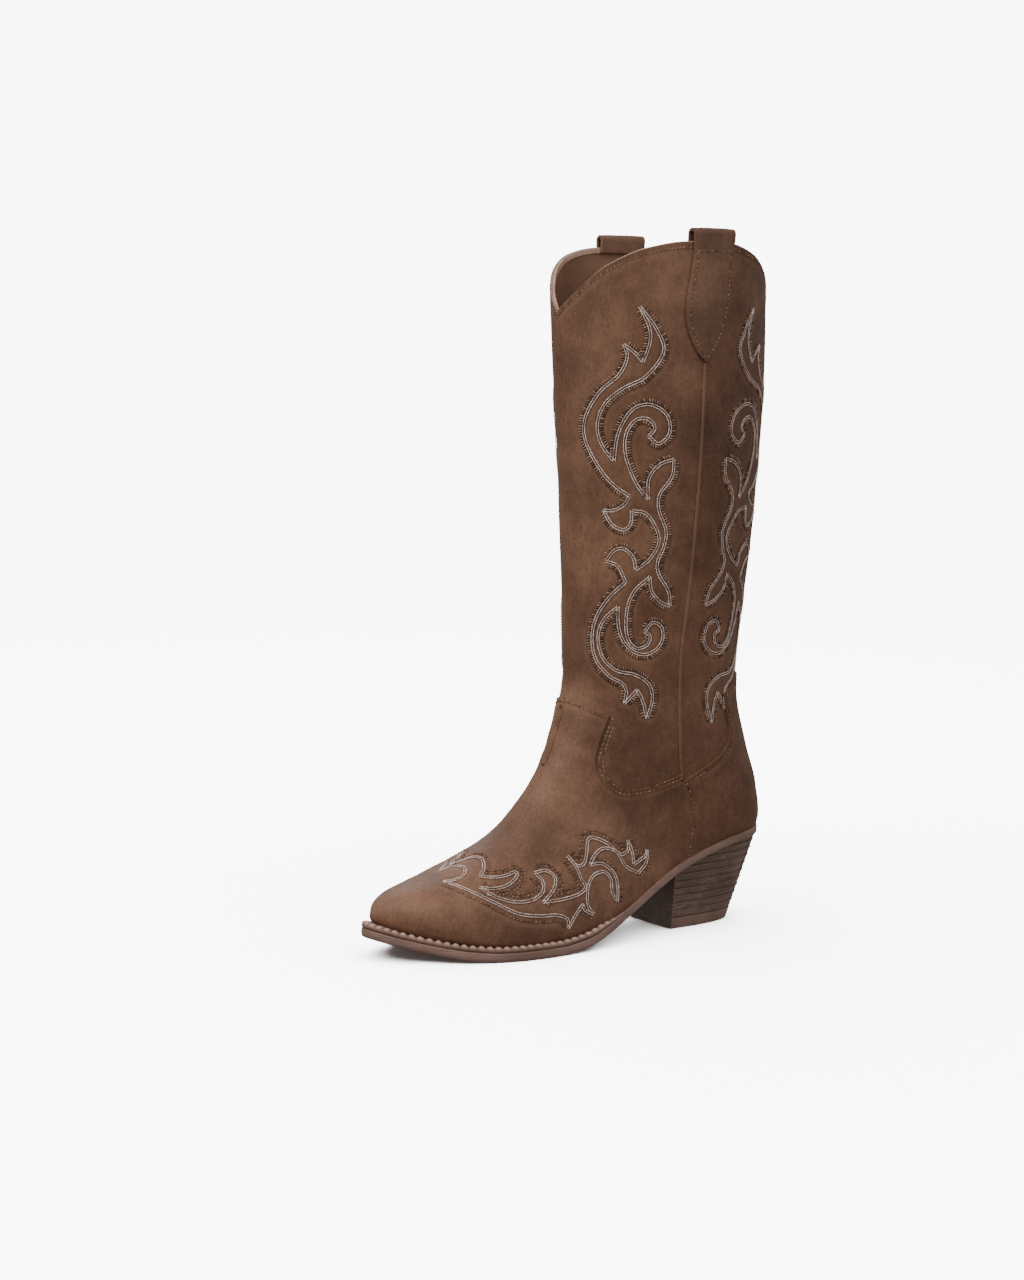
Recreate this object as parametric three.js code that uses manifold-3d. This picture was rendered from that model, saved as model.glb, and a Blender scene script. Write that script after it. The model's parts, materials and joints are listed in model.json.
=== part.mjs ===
// Cowboy boot, left foot: lasted upper with an inside zip, welted sole and stacked heel.
// Millimetres, +Z up, toe toward -Y, outer (lateral) side toward +X.
// The origin is on the ground, at the middle of the heel's base.
import * as THREE from 'three';
import { mergeVertices } from 'three/addons/utils/BufferGeometryUtils.js';
import Module from 'manifold-3d';

const wasm = await Module();
wasm.setup();

// ---- overall sizes ----
const FOOT_LENGTH = 257;       // upper's toe tip to the back of the heel seat
const SHAFT_PEAK = 401.5;      // top edge at the sides, over the ground
const TOP_SCALLOP = 40.5;      // how far the top edge dips at the front and the back
const CALF_WIDTH = 98;         // shaft across, at the top
const FOOT_WIDTH = 84;         // forefoot across, at the ball

// The sections and seams are drawn at these sizes, and stretched to the sizes above.
const DESIGN = { length: 257, peak: 401.5, calf: 98, foot: 84, ankle: 150 };
const lengthwise = (y) => (y * FOOT_LENGTH) / DESIGN.length;
const shaftScale = (SHAFT_PEAK - DESIGN.ankle) / (DESIGN.peak - DESIGN.ankle);
const upward = (z) => (z < DESIGN.ankle ? z : DESIGN.ankle + (z - DESIGN.ankle) * shaftScale);
const SHAFT_DIP = SHAFT_PEAK - TOP_SCALLOP;

// ---- layers of the upper ----
const GAP = 0.3;               // between faces that touch on the real boot
const LEATHER = 1.6;
const LINING = 1.0;
const STIFFENER = 1.2;         // toe puff and heel stiffener
const BINDING = 3.2;           // height of the folded top edge
const SIDE_WELT = 2.0;         // width of the piping in the outer side seam
const SIDE_WELT_PROUD = 0.6;

// ---- bottom ----
const OUTSOLE = 5.0;
const WELT = 3.5;
const WELT_BEYOND = 5.0;       // welt and outsole beyond the upper at the forefoot
const SHANK_BEYOND = 2.4;      // and at the waist and heel
const TOE_BEYOND = 5.5;        // extra at the tip of the toe
const INSOLE = 3.2;
const SOCK = 1.2;
const FLOOR_INSET = 5;         // insole and sock inside the upper's outline, at the least
const CUT = { low: -20, high: 120 };  // heights between which outlines cut the bottom pieces
const STEEL = { thick: 1.6, wide: 14, front: -105, back: 2 };

// ---- heel ----
const HEEL = { breast: -24, back: 28, half: 21.5, topLift: 6.7, lifts: 10 };
const NAIL = { radius: 1.1, long: 13.5, sunk: 0.8, x: 14, front: -16, rear: 10 };
const SCREW = { radius: 2.0, head: 4.2, headThick: 1.2, y: lengthwise(10), long: 26 };

// ---- zip on the inner side ----
const ZIP = { topZ: upward(246), bottomZ: 62, topY: -20, bottomY: -35.5, topX: -43.6, bottomX: -33.1 };
const COIL = { inner: 0.8, outer: 2.25, low: -1.3, high: 0.2 };
const ZIP_SLOT = 8.4;          // between the leather edges
const TAPE = { wide: 9, thick: 0.5 };
const SLIDER = { long: 9, half: 3.7, plate: 0.9 };
const PULL = { half: 3.2, neck: 6.5, long: 20, thick: 1.0 };
const GUARD = { half: 11, depth: LEATHER + 3.6, thick: 0.8 };

// ---- pull straps ----
const STRAP = { y: -17, half: 15, tipZ: SHAFT_PEAK - 69.5, innerZ: SHAFT_PEAK - 39.5, thick: 2.0,
  loop: 5.2, lift: 2.4, innerEase: 0.8 };

const clamp = THREE.MathUtils.clamp;
const smooth = (a, b, x) => {
  const t = clamp((x - a) / (b - a), 0, 1);
  return t * t * (3 - 2 * t);
};

// Monotone curve through [x, value] pairs: flat where two neighbours are level.
function monotone(pairs) {
  const n = pairs.length;
  const step = (i) => pairs[i + 1][0] - pairs[i][0];
  const rise = (i) => (pairs[i + 1][1] - pairs[i][1]) / step(i);
  const slopes = pairs.map((_, i) => {
    if (i === 0) return rise(0);
    if (i === n - 1) return rise(n - 2);
    const [a, b] = [rise(i - 1), rise(i)];
    return a * b <= 0 ? 0 : (2 * a * b) / (a + b);
  });
  return (x) => {
    const at = clamp(x, pairs[0][0], pairs[n - 1][0]);
    let i = 0;
    while (i < n - 2 && at > pairs[i + 1][0]) i += 1;
    const h = step(i);
    const t = (at - pairs[i][0]) / h;
    const [p, q, m, k] = [pairs[i][1], pairs[i + 1][1], slopes[i] * h, slopes[i + 1] * h];
    return p + m * t + (3 * (q - p) - 2 * m - k) * t * t + (2 * (p - q) + m + k) * t * t * t;
  };
}

// ---- the last: cross-sections from the top of the shaft to the toe ----
// Each row: front (or top) point y z, back (or bottom) point y z, half width outside and inside,
// where the widest place lies between the two points, and how blunt each end is.
const SECTIONS = [
  [-92, 406, 52, 406, 49, 48, 0.5, 1.25, 1.22],
  [-90.5, 343, 52, 343, 49, 48, 0.5, 1.22, 1.2],
  [-86.5, 282, 47.5, 282, 48, 46, 0.5, 1.2, 1.18],
  [-84, 222, 41.5, 222, 44.5, 42.2, 0.5, 1.15, 1.12],
  [-82.5, 177, 34, 174, 40, 39.4, 0.5, 1.1, 1.08],
  [-83, 148, 31, 138, 37.5, 37.6, 0.52, 1.05, 1],
  [-89, 124, 38, 106, 36.5, 36.2, 0.56, 1, 0.95],
  [-96, 106, 46, 80, 35.5, 35.2, 0.6, 0.98, 0.88],
  [-104.5, 91.5, 44.5, 54, 33.5, 33.8, 0.66, 0.95, 0.8],
  [-114.5, 79.5, 10, 41, 33, 32.9, 0.72, 0.92, 0.75],
  [-127.5, 66.5, -42, 18, 37, 36, 0.8, 0.92, 0.65],
  [-143.5, 56, -92, 5, 42, 40, 0.84, 0.92, 0.6],
  [-163, 47, -138, 3, 42, 41, 0.84, 0.92, 0.6],
  [-180, 40.5, -168, 6, 35, 35.5, 0.8, 0.9, 0.6],
  [-194, 36, -188, 11, 24, 25.5, 0.74, 0.85, 0.65],
  [-203, 31.5, -201, 16, 12.5, 14.5, 0.66, 0.8, 0.75],
  [-208, 27.5, -207.5, 20.5, 4, 4, 0.6, 0.9, 0.9],
].map(([fy, fz, by, bz, outer, inner, ...rest], i) => {
  const wide = i < 4 ? CALF_WIDTH / DESIGN.calf : i > 9 ? FOOT_WIDTH / DESIGN.foot : 1;
  const lift = (z) => (i < 6 ? upward(z) : z);
  return [lengthwise(fy), lift(fz), lengthwise(by), lift(bz), outer * wide, inner * wide, ...rest];
});
const LAST_SECTION = SECTIONS.length - 1;
const TOE_LEAN = { from: -120, over: 90, by: -6 };

function sectionAt(v) {
  const at = clamp(v, 0, LAST_SECTION - 1e-9);
  const i = Math.floor(at);
  const f = at - i;
  const row = (k) => SECTIONS[clamp(k, 0, LAST_SECTION)];
  return SECTIONS[0].map((_, k) => {
    const [a, b, c, d] = [row(i - 1)[k], row(i)[k], row(i + 1)[k], row(i + 2)[k]];
    return 0.5 * (2 * b + (c - a) * f + (2 * a - 5 * b + 4 * c - d) * f * f
      + (3 * b - a - 3 * c + d) * f * f * f);
  });
}

const toeLean = (y) => TOE_LEAN.by * clamp((-y / lengthwise(1) + TOE_LEAN.from) / TOE_LEAN.over, 0, 1) ** 1.5;

// ---- the zip's flat strip ----
const ZIP_SPAN = ZIP.topZ - ZIP.bottomZ;
const zipY = (z) => lengthwise(ZIP.topY + ((ZIP.topZ - z) * (ZIP.bottomY - ZIP.topY)) / ZIP_SPAN);
const zipX = (z) => ZIP.topX + ((ZIP.topZ - z) * (ZIP.bottomX - ZIP.topX)) / ZIP_SPAN;
const zipTop = new THREE.Vector3(zipX(ZIP.topZ), zipY(ZIP.topZ), ZIP.topZ);
const zipBottom = new THREE.Vector3(zipX(ZIP.bottomZ), zipY(ZIP.bottomZ), ZIP.bottomZ);
const zipUp = zipTop.clone().sub(zipBottom).normalize();
const zipOut = new THREE.Vector3(-ZIP_SPAN, 0, ZIP.topX - ZIP.bottomX).normalize();
const zipAcross = zipOut.clone().cross(zipUp).normalize();
const zipFace = zipUp.clone().cross(zipAcross).normalize();
const ZIP_LENGTH = zipTop.distanceTo(zipBottom);
const zipFrame = new THREE.Matrix4().makeBasis(zipAcross, zipFace, zipUp).setPosition(zipTop);

function flattenAtZip(point) {
  const slope = (zipTop.y - zipBottom.y) / ZIP_SPAN;
  const away = Math.abs(point.y - zipY(point.z)) / Math.hypot(1, slope);
  const along = smooth(ZIP.bottomZ - 26, ZIP.bottomZ - 6, point.z)
    * (1 - smooth(ZIP.topZ + 8, ZIP.topZ + 50, point.z));
  const share = (1 - smooth(9, 24, away)) * along;
  point.x += (zipX(point.z) - point.x) * share;
}

// A point of the upper's outer surface: v runs down and forward, the angle goes round the leg
// from the front (0) over the outer side (+90 degrees) to the back (180).
function skin(v, angle) {
  const [fy, fz, by, bz, outer, inner, widest, blunt, bluntBack] = sectionAt(v);
  const c = Math.cos(angle);
  const s = Math.sin(angle);
  const t = c > 0 ? widest * (1 - c) : widest - (1 - widest) * c;
  const share = (1 - c) / 2;
  const reach = (s >= 0 ? outer : inner) * Math.abs(s) ** (blunt * (1 - share) + bluntBack * share);
  const y = fy + (by - fy) * t;
  const point = new THREE.Vector3(Math.sign(s) * reach + toeLean(y), y, fz + (bz - fz) * t);
  if (s < 0) flattenAtZip(point);
  return point;
}

function skinNormal(v, angle) {
  const e = 0.02;
  const low = Math.min(v, LAST_SECTION - 2 * e);
  const round = skin(v, angle + e).sub(skin(v, angle - e));
  const down = skin(low + e, angle).sub(skin(Math.max(low - e, 0), angle));
  return round.cross(down).normalize().negate();
}

// The outer surface's x at a place seen from the side, or null outside the boot's outline.
function sideX(y, z, side) {
  const across = (v) => {
    const [fy, fz, by, bz] = sectionAt(v);
    return (y - fy) * (bz - fz) - (z - fz) * (by - fy);
  };
  let [low, high] = [0, LAST_SECTION - 1e-6];
  if (across(low) <= 0 || across(high) >= 0) return null;
  for (let i = 0; i < 40; i += 1) {
    const middle = (low + high) / 2;
    if (across(middle) > 0) low = middle;
    else high = middle;
  }
  const [fy, fz, by, bz, outer, inner, widest, blunt, bluntBack] = sectionAt(low);
  const t = ((y - fy) * (by - fy) + (z - fz) * (bz - fz)) / ((by - fy) ** 2 + (bz - fz) ** 2);
  if (t < 0 || t > 1) return null;
  const c = t < widest ? 1 - t / widest : -(t - widest) / (1 - widest);
  const share = (1 - c) / 2;
  const s = Math.sqrt(1 - c * c);
  const reach = (side > 0 ? outer : inner) * s ** (blunt * (1 - share) + bluntBack * share);
  const point = new THREE.Vector3(side * reach + toeLean(y), y, z);
  if (side < 0) flattenAtZip(point);
  return point.x;
}

// ---- solids ----
function solidOf(geometry) {
  const bare = geometry.clone();
  bare.deleteAttribute('normal');
  bare.deleteAttribute('uv');
  const merged = mergeVertices(bare, 1e-5);
  return new wasm.Manifold(new wasm.Mesh({
    numProp: 3,
    vertProperties: Float32Array.from(merged.attributes.position.array),
    triVerts: Uint32Array.from(merged.index.array),
  }));
}

function geometryOf(solid) {
  const mesh = solid.getMesh();
  const geometry = new THREE.BufferGeometry();
  geometry.setAttribute('position', new THREE.BufferAttribute(mesh.vertProperties, 3));
  geometry.setIndex(new THREE.BufferAttribute(mesh.triVerts, 1));
  return geometry;
}

// Closed surface through rings of equal length, with a fan on each end.
function loft(rings, closeStart, closeEnd) {
  const n = rings[0].length;
  const points = rings.flat().concat([closeStart, closeEnd]);
  const index = [];
  for (let i = 0; i < rings.length - 1; i += 1) {
    for (let j = 0; j < n; j += 1) {
      const [a, b] = [i * n + j, i * n + ((j + 1) % n)];
      index.push(a, a + n, b, b, a + n, b + n);
    }
  }
  const [start, end, last] = [rings.length * n, rings.length * n + 1, (rings.length - 1) * n];
  for (let j = 0; j < n; j += 1) {
    index.push(start, j, (j + 1) % n, end, last + ((j + 1) % n), last + j);
  }
  const geometry = new THREE.BufferGeometry().setFromPoints(points);
  geometry.setIndex(index);
  return geometry;
}

const ROUND = 20;
const ROWS = [0, 0.8, 1.6, 2.4, 3.2, 4, 4.8, 5.6, 6.3, 7, 7.6, 8.2, 9, 9.9, 10.8, 11.7, 12.6, 13.5,
  14.4, 15.2, 15.7, LAST_SECTION];

// The last's solid, its surface moved inward by depth(point).
function lastSolid(depth) {
  const rings = ROWS.map((v) => Array.from({ length: ROUND }, (_, j) => {
    const angle = (j / ROUND) * 2 * Math.PI;
    const point = skin(v, angle);
    const move = skinNormal(v, angle).multiplyScalar(-depth(point));
    if (v === 0) move.z = 0;
    return point.add(move);
  }));
  const middle = (ring) => ring.reduce((sum, p) => sum.add(p), new THREE.Vector3()).divideScalar(ROUND);
  return solidOf(loft(rings, middle(rings[0]), middle(rings.at(-1))));
}
const layer = (from, to) => lastSolid(from).subtract(lastSolid(to));
const evenly = (depth) => () => depth;

// A prism along X over an outline seen from the side, in y and z.
const SIDEWAYS = new THREE.Matrix4().set(0, 0, 1, 0, 1, 0, 0, 0, 0, 1, 0, 0, 0, 0, 0, 1);
const ccw = (points) => (THREE.ShapeUtils.isClockWise(points) ? [...points].reverse() : points);
function prism(outline, x0, x1) {
  const geometry = new THREE.ExtrudeGeometry(new THREE.Shape(ccw(outline)),
    { depth: x1 - x0, bevelEnabled: false, steps: 1 });
  return solidOf(geometry.translate(0, 0, x0).applyMatrix4(SIDEWAYS));
}
// A column along Z over a plan outline, in x and y.
function column(outline, z0, z1) {
  const geometry = new THREE.ExtrudeGeometry(new THREE.Shape(ccw(outline)),
    { depth: z1 - z0, bevelEnabled: false, steps: 1 });
  return solidOf(geometry.translate(0, 0, z0));
}

// An outline moved inward by a distance, or outward where it is negative.
function inset(outline, distance) {
  const points = ccw(outline);
  return points.map((p, i) => {
    const before = points[(i + points.length - 1) % points.length];
    const after = points[(i + 1) % points.length];
    const a = p.clone().sub(before).normalize();
    const b = after.clone().sub(p).normalize();
    const bisector = new THREE.Vector2(-(a.y + b.y), a.x + b.x).normalize();
    const spread = Math.max(0.35, Math.sqrt((1 + a.dot(b)) / 2));
    return p.clone().addScaledVector(bisector, distance / spread);
  });
}

const at = (y, z) => new THREE.Vector2(lengthwise(y), upward(z));
const FAR = 300;
const curve = (points, steps) => new THREE.SplineCurve(points).getPoints(steps);

// ---- seams, seen from the side ----
const joint = at(-25.4, 88.4);              // where vamp, heel counter and shaft meet
const vampEdge = curve([at(-76.5, 134), at(-82.6, 116), at(-84.6, 104.6), at(-79.7, 92.7),
  at(-67.2, 84.4), at(-50.3, 83.6), joint], 18);
const footSeam = curve([joint, at(-21, 73), at(-19.3, 49), at(-19, 20)], 6);
const counterEdge = curve([joint, at(-5, 96.3), at(17, 106.5), at(26, 117), at(25.4, 134)], 12);
const vampOutline = [at(-FAR, 142), at(-86, 141), ...vampEdge, ...footSeam.slice(1), at(-FAR, -40)];
const counterOutline = [...footSeam.toReversed().slice(0, -1), ...counterEdge, at(31, 140), at(FAR, 140),
  at(FAR, -40), at(-19, -40)];
const outerSeam = curve([at(-22, 430), at(-22.2, 333), at(-24.9, 255), at(-27.9, 197), at(-30.2, 162),
  at(-28.5, 115), joint], 16);
const innerSeam = [at(-22, 430), at(-22, 330), new THREE.Vector2(zipY(ZIP.topZ), ZIP.topZ),
  new THREE.Vector2(zipY(ZIP.bottomZ - 20), ZIP.bottomZ - 20)];
const behind = (seam) => [...seam, at(FAR, -60), at(FAR, 430)];
const before = (seam) => [...seam, at(-FAR, -60), at(-FAR, 430)];

const TOP_SHARE = [[0, 0], [20, 0.3], [40, 0.67], [60, 0.9], [80, 0.99], [100, 0.99], [120, 0.88],
  [140, 0.62], [160, 0.27], [180, 0]];
const topShare = monotone(TOP_SHARE);
const toplineAt = (degrees, lower) => {
  const [fy, , by] = sectionAt(0.4);
  const t = (1 - Math.cos(THREE.MathUtils.degToRad(degrees))) / 2;
  return new THREE.Vector2(fy + (by - fy) * t, SHAFT_DIP + TOP_SCALLOP * topShare(degrees) - lower);
};
// Everything under the top edge, lowered by a distance.
function underTopline(lower) {
  const edge = Array.from({ length: 19 }, (_, i) => toplineAt(i * 10, lower));
  return [new THREE.Vector2(-FAR, edge[0].y), ...edge, new THREE.Vector2(FAR, edge.at(-1).y),
    new THREE.Vector2(FAR, -60), new THREE.Vector2(-FAR, -60)];
}

// ---- the bottom, seen from the side ----
const ground = monotone([[-216, 12.8], [-200, 8], [-185, 4.2], [-168, 1.3], [-152, 0], [-118, 0],
  [-100, 2.2], [-85, 7], [-65, 16.2], [-45, 27.6], [-25, 37], [-5, 43.3], [15, 47.9], [35, 50.4],
  [56, 51.6]].map(([y, z]) => [lengthwise(y), z]));
const weltThick = (y) => WELT * (1 - smooth(lengthwise(-96), lengthwise(-64), y));
const outsoleTop = (y) => ground(y) + OUTSOLE;
const feather = (y) => outsoleTop(y) + GAP + weltThick(y);
const SOLE_RANGE = { from: lengthwise(-224), to: lengthwise(62), steps: 32 };
const lineOf = (height, add) => Array.from({ length: SOLE_RANGE.steps + 1 }, (_, i) => {
  const y = SOLE_RANGE.from + ((SOLE_RANGE.to - SOLE_RANGE.from) * i) / SOLE_RANGE.steps;
  return new THREE.Vector2(y, height(y) + add);
});
const slab = (low, lowAdd, high, highAdd) => prism(
  [...lineOf(low, lowAdd), ...lineOf(high, highAdd).reverse()], -FAR, FAR);
const aboveFeather = prism([...lineOf(feather, GAP), at(62, 600), at(-224, 600)], -FAR, FAR);

// ---- the bottom, in plan ----
const inside = (y) => sideX(y, feather(y), 1) !== null;
const endOf = (direction) => {
  let y = 0;
  while (inside(y + direction * 0.2)) y += direction * 0.2;
  return y;
};
const [heelEnd, toeEnd] = [endOf(1), endOf(-1)];
function soleOutline(beyond) {
  const halfCount = 20;
  const sample = (i) => heelEnd + ((toeEnd - heelEnd) * (1 - Math.cos((Math.PI * i) / halfCount))) / 2;
  const side = (sign) => Array.from({ length: halfCount + 1 }, (_, i) => sample(i))
    .map((y) => new THREE.Vector2(sideX(y, feather(y), sign) ?? toeLean(y), y));
  const edge = [...side(1), ...side(-1).slice(1, -1).reverse()];
  const moved = ccw(edge).map((p, i, all) => {
    const prior = all[(i + all.length - 1) % all.length];
    const next = all[(i + 1) % all.length];
    const out = new THREE.Vector2(next.y - prior.y, prior.x - next.x).normalize();
    return p.clone().addScaledVector(out, beyond(p.y));
  });
  // moved inward, the points round a tight end cross over: those that come too close are left out
  return moved.filter((p) => edge.every((q) => q.distanceTo(p) > -0.97 * beyond(q.y)));
}
const beyondUpper = (y) => SHANK_BEYOND
  + (WELT_BEYOND - SHANK_BEYOND) * (1 - smooth(lengthwise(-100), lengthwise(-60), y))
  + TOE_BEYOND * (1 - smooth(toeEnd, toeEnd + 22, y));

// ---- the object ----
const boot = new THREE.Group();
const finish = {
  leather: [0x6e4e3a, 0.5, 0], strap: [0x64452f, 0.5, 0], edge: [0xc6a592, 0.7, 0],
  lining: [0x6b4a36, 0.8, 0], fibre: [0xb49a7c, 0.85, 0], steel: [0x8d9094, 0.35, 1],
  sole: [0x7b6557, 0.6, 0], welt: [0xa58a7c, 0.65, 0], stack: [0x574a45, 0.55, 0],
  lift: [0x8a7567, 0.7, 0], tape: [0x3f2b20, 0.9, 0], coil: [0x2e2019, 0.5, 0],
  brass: [0x5c4a35, 0.4, 1], filler: [0x8c6f4e, 0.95, 0],
};
function add(name, solid, look) {
  const [color, roughness, metalness] = finish[look];
  const material = new THREE.MeshStandardMaterial({ color, roughness, metalness });
  const geometry = solid.isBufferGeometry ? solid : geometryOf(solid);
  const mesh = new THREE.Mesh(geometry, material);
  mesh.name = name;
  boot.add(mesh);
}

// ---- upper ----
const slotOutline = (half, above, below) => [[-half, above], [half, above], [half, -ZIP_LENGTH - below],
  [-half, -ZIP_LENGTH - below]].map(([across, up]) => {
  const p = new THREE.Vector3(across, 0, up).applyMatrix4(zipFrame);
  return new THREE.Vector2(p.y, p.z);
});
const zipSlot = prism(slotOutline(ZIP_SLOT / 2, 6, 6), -FAR, -5);
const liningWindow = prism(slotOutline(TAPE.wide + 1, 8, 8), -FAR, -5);

function addOuterLeather() {
  const leather = layer(evenly(0), evenly(LEATHER))
    .intersect(prism(underTopline(BINDING + GAP), -FAR, FAR)).intersect(aboveFeather).subtract(zipSlot);
  add('vamp', leather.intersect(prism(inset(vampOutline, GAP / 2), -FAR, FAR)), 'leather');
  add('heel_counter', leather.intersect(prism(inset(counterOutline, GAP / 2), -FAR, FAR)), 'leather');
  const shaft = leather.subtract(prism(inset(vampOutline, -GAP / 2), -FAR, FAR))
    .subtract(prism(inset(counterOutline, -GAP / 2), -FAR, FAR));
  const half = SIDE_WELT / 2 + GAP;
  const cut = (outer, inner) => shaft.subtract(prism(inset(outer, -half), -1, FAR))
    .subtract(prism(inset(inner, -GAP / 2), -FAR, 1));
  add('shaft_front_panel', cut(behind(outerSeam), behind(innerSeam)), 'leather');
  add('shaft_back_panel', cut(before(outerSeam), before(innerSeam)), 'leather');
}

function addSideWelt() {
  const edge = SIDE_WELT / 2;
  const body = layer(evenly(-SIDE_WELT_PROUD), evenly(LEATHER))
    .intersect(prism(underTopline(BINDING + GAP), 5, FAR))
    .subtract(prism(inset(behind(outerSeam), edge), 0, FAR))
    .subtract(prism(inset(before(outerSeam), edge), 0, FAR))
    .subtract(prism(inset(vampOutline, -GAP - edge), -FAR, FAR))
    .subtract(prism(inset(counterOutline, -GAP - edge), -FAR, FAR));
  const tip = STRAP.tipZ - 2;
  const underStrap = prism([[-FAR, tip], [FAR, tip], [FAR, 600], [-FAR, 600]]
    .map(([y, z]) => new THREE.Vector2(y, z)), 0, FAR);
  const proud = layer(evenly(-3 * SIDE_WELT_PROUD), evenly(0));
  add('side_welt', body.subtract(proud.intersect(underStrap)), 'leather');
}

function addBinding() {
  const band = layer(evenly(0), evenly(LEATHER + GAP + LINING))
    .intersect(prism(underTopline(0), -FAR, FAR)).subtract(prism(underTopline(BINDING), -FAR, FAR));
  add('topline_binding', band, 'edge');
}

// The lining stands further in where the toe puff and the heel stiffener lie behind it.
const PUFF_BACK = lengthwise(-168);
const STIFF = { front: lengthwise(2), top: 98 };
const stiffened = (p) => 1 - smooth(PUFF_BACK + 12, PUFF_BACK + 24, p.y)
  + smooth(STIFF.front - 28, STIFF.front - 14, p.y) * (1 - smooth(STIFF.top + 14, STIFF.top + 30, p.z));
const LINING_AT = LEATHER + GAP;
const liningDepth = (p) => LINING_AT + (STIFFENER + GAP) * stiffened(p);

function addLining() {
  const all = layer(liningDepth, (p) => liningDepth(p) + LINING)
    .intersect(prism(underTopline(BINDING + GAP), -FAR, FAR)).intersect(aboveFeather)
    .subtract(liningWindow);
  const footLine = [at(-FAR, 132), at(-95, 132), at(0, 118), at(FAR, 118), at(FAR, -60), at(-FAR, -60)];
  add('foot_lining', all.intersect(prism(inset(footLine, GAP / 2), -FAR, FAR)), 'lining');
  const shaft = all.subtract(prism(inset(footLine, -GAP / 2), -FAR, FAR));
  const cut = (outer, inner) => shaft.subtract(prism(inset(outer, -GAP / 2), -1, FAR))
    .subtract(prism(inset(inner, -GAP / 2), -FAR, 1));
  add('shaft_lining_front', cut(behind(outerSeam), behind(innerSeam)), 'lining');
  add('shaft_lining_back', cut(before(outerSeam), before(innerSeam)), 'lining');
}

function addStiffeners() {
  const middle = layer(evenly(LINING_AT), evenly(LINING_AT + STIFFENER)).intersect(aboveFeather);
  const toe = [[-FAR, 200], [PUFF_BACK, 200], [PUFF_BACK, -60], [-FAR, -60]];
  const heel = [[STIFF.front, STIFF.top], [FAR, STIFF.top], [FAR, -60], [STIFF.front, -60]];
  const region = (pairs) => prism(pairs.map(([y, z]) => new THREE.Vector2(y, z)), -FAR, FAR);
  add('toe_puff', middle.intersect(region(toe)), 'fibre');
  add('heel_stiffener', middle.intersect(region(heel)), 'fibre');
}

// ---- bottom ----
const WELT_END = lengthwise(-74);
const screwHole = (radius) => new THREE.CylinderGeometry(radius, radius, 120, 12)
  .rotateX(Math.PI / 2).translate(0, SCREW.y, 40);

function addBottom() {
  const outline = soleOutline(beyondUpper);
  const bore = solidOf(screwHole(SCREW.radius + GAP));
  add('outsole', column(outline, CUT.low, CUT.high).intersect(slab(ground, 0, outsoleTop, 0)).subtract(bore), 'sole');
  const forefoot = prism([[-FAR, 120], [WELT_END, 120], [WELT_END, -60], [-FAR, -60]]
    .map(([y, z]) => new THREE.Vector2(y, z)), -FAR, FAR);
  const sheet = slab(outsoleTop, GAP, feather, 0).intersect(forefoot);
  const weltInner = soleOutline(evenly(-8));
  add('welt', column(outline, CUT.low, CUT.high).subtract(column(weltInner, -21, 121)).intersect(sheet), 'welt');
  add('bottom_filler', column(inset(weltInner, GAP), CUT.low, CUT.high).intersect(sheet), 'filler');
  addFloor();
}

function addFloor() {
  const floor = lastSolid((p) => liningDepth(p) + LINING + GAP)
    .intersect(column(soleOutline(evenly(-FLOOR_INSET)), CUT.low, CUT.high));
  const [half, front, back] = [STEEL.wide / 2, lengthwise(STEEL.front), lengthwise(STEEL.back)];
  const corners = (grow) => [[-half - grow, front - grow], [half + grow, front - grow],
    [half + grow, back + grow], [-half - grow, back + grow]].map(([x, y]) => new THREE.Vector2(x, y));
  const bar = (grow) => column(corners(grow), CUT.low, CUT.high);
  add('steel_shank', bar(0).intersect(slab(feather, GAP, feather, GAP + STEEL.thick)), 'steel');
  const groove = bar(GAP).intersect(slab(feather, -1, feather, 2 * GAP + STEEL.thick));
  const board = floor.intersect(slab(feather, GAP, feather, GAP + INSOLE)).subtract(groove)
    .subtract(solidOf(screwHole(SCREW.head + GAP)));
  add('insole_board', board, 'fibre');
  const sockLow = 2 * GAP + INSOLE;
  add('sock_liner', floor.intersect(slab(feather, sockLow, feather, sockLow + SOCK)), 'lining');
}

// ---- heel ----
// D-shaped outline: straight breast, rounded back.
function heelOutline(breast, back, half) {
  const steps = 12;
  const side = (sign) => Array.from({ length: steps + 1 }, (_, i) => {
    const a = (i / steps) * (Math.PI / 2);
    const [y, x] = [breast + (back - breast) * Math.sin(a) ** 0.86, half * Math.cos(a) ** 0.72];
    return new THREE.Vector2(sign * x, y);
  });
  return ccw([...side(1), ...side(-1).slice(0, -1).reverse()]);
}
const heelTopZ = ground(heelEnd);
function heelRing(z) {
  const share = z / heelTopZ;
  const mix = (a, b) => a + (b - a) * share;
  const topHalf = sideX(lengthwise(12), feather(lengthwise(12)), 1) + SHANK_BEYOND - 0.4;
  const outline = heelOutline(mix(lengthwise(HEEL.breast), lengthwise(HEEL.breast - 1.5)),
    mix(lengthwise(HEEL.back), heelEnd + SHANK_BEYOND - 0.4), mix(HEEL.half, topHalf));
  return outline.map((p) => new THREE.Vector3(p.x, p.y, z));
}
function heelSlice(z0, z1) {
  const rings = [heelRing(z1), heelRing(z0)];
  const middle = (z) => new THREE.Vector3(0, 0, z);
  return solidOf(loft(rings, middle(z1), middle(z0)));
}
const nailPlaces = [1, -1].flatMap((side) => [NAIL.front, NAIL.rear]
  .map((y) => [side * NAIL.x * (y > 0 ? 0.8 : 1), lengthwise(y)]));
const nail = (x, y, radius, z0, z1) => new THREE.CylinderGeometry(radius, radius, z1 - z0, 8)
  .rotateX(Math.PI / 2).translate(x, y, (z0 + z1) / 2);

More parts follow.
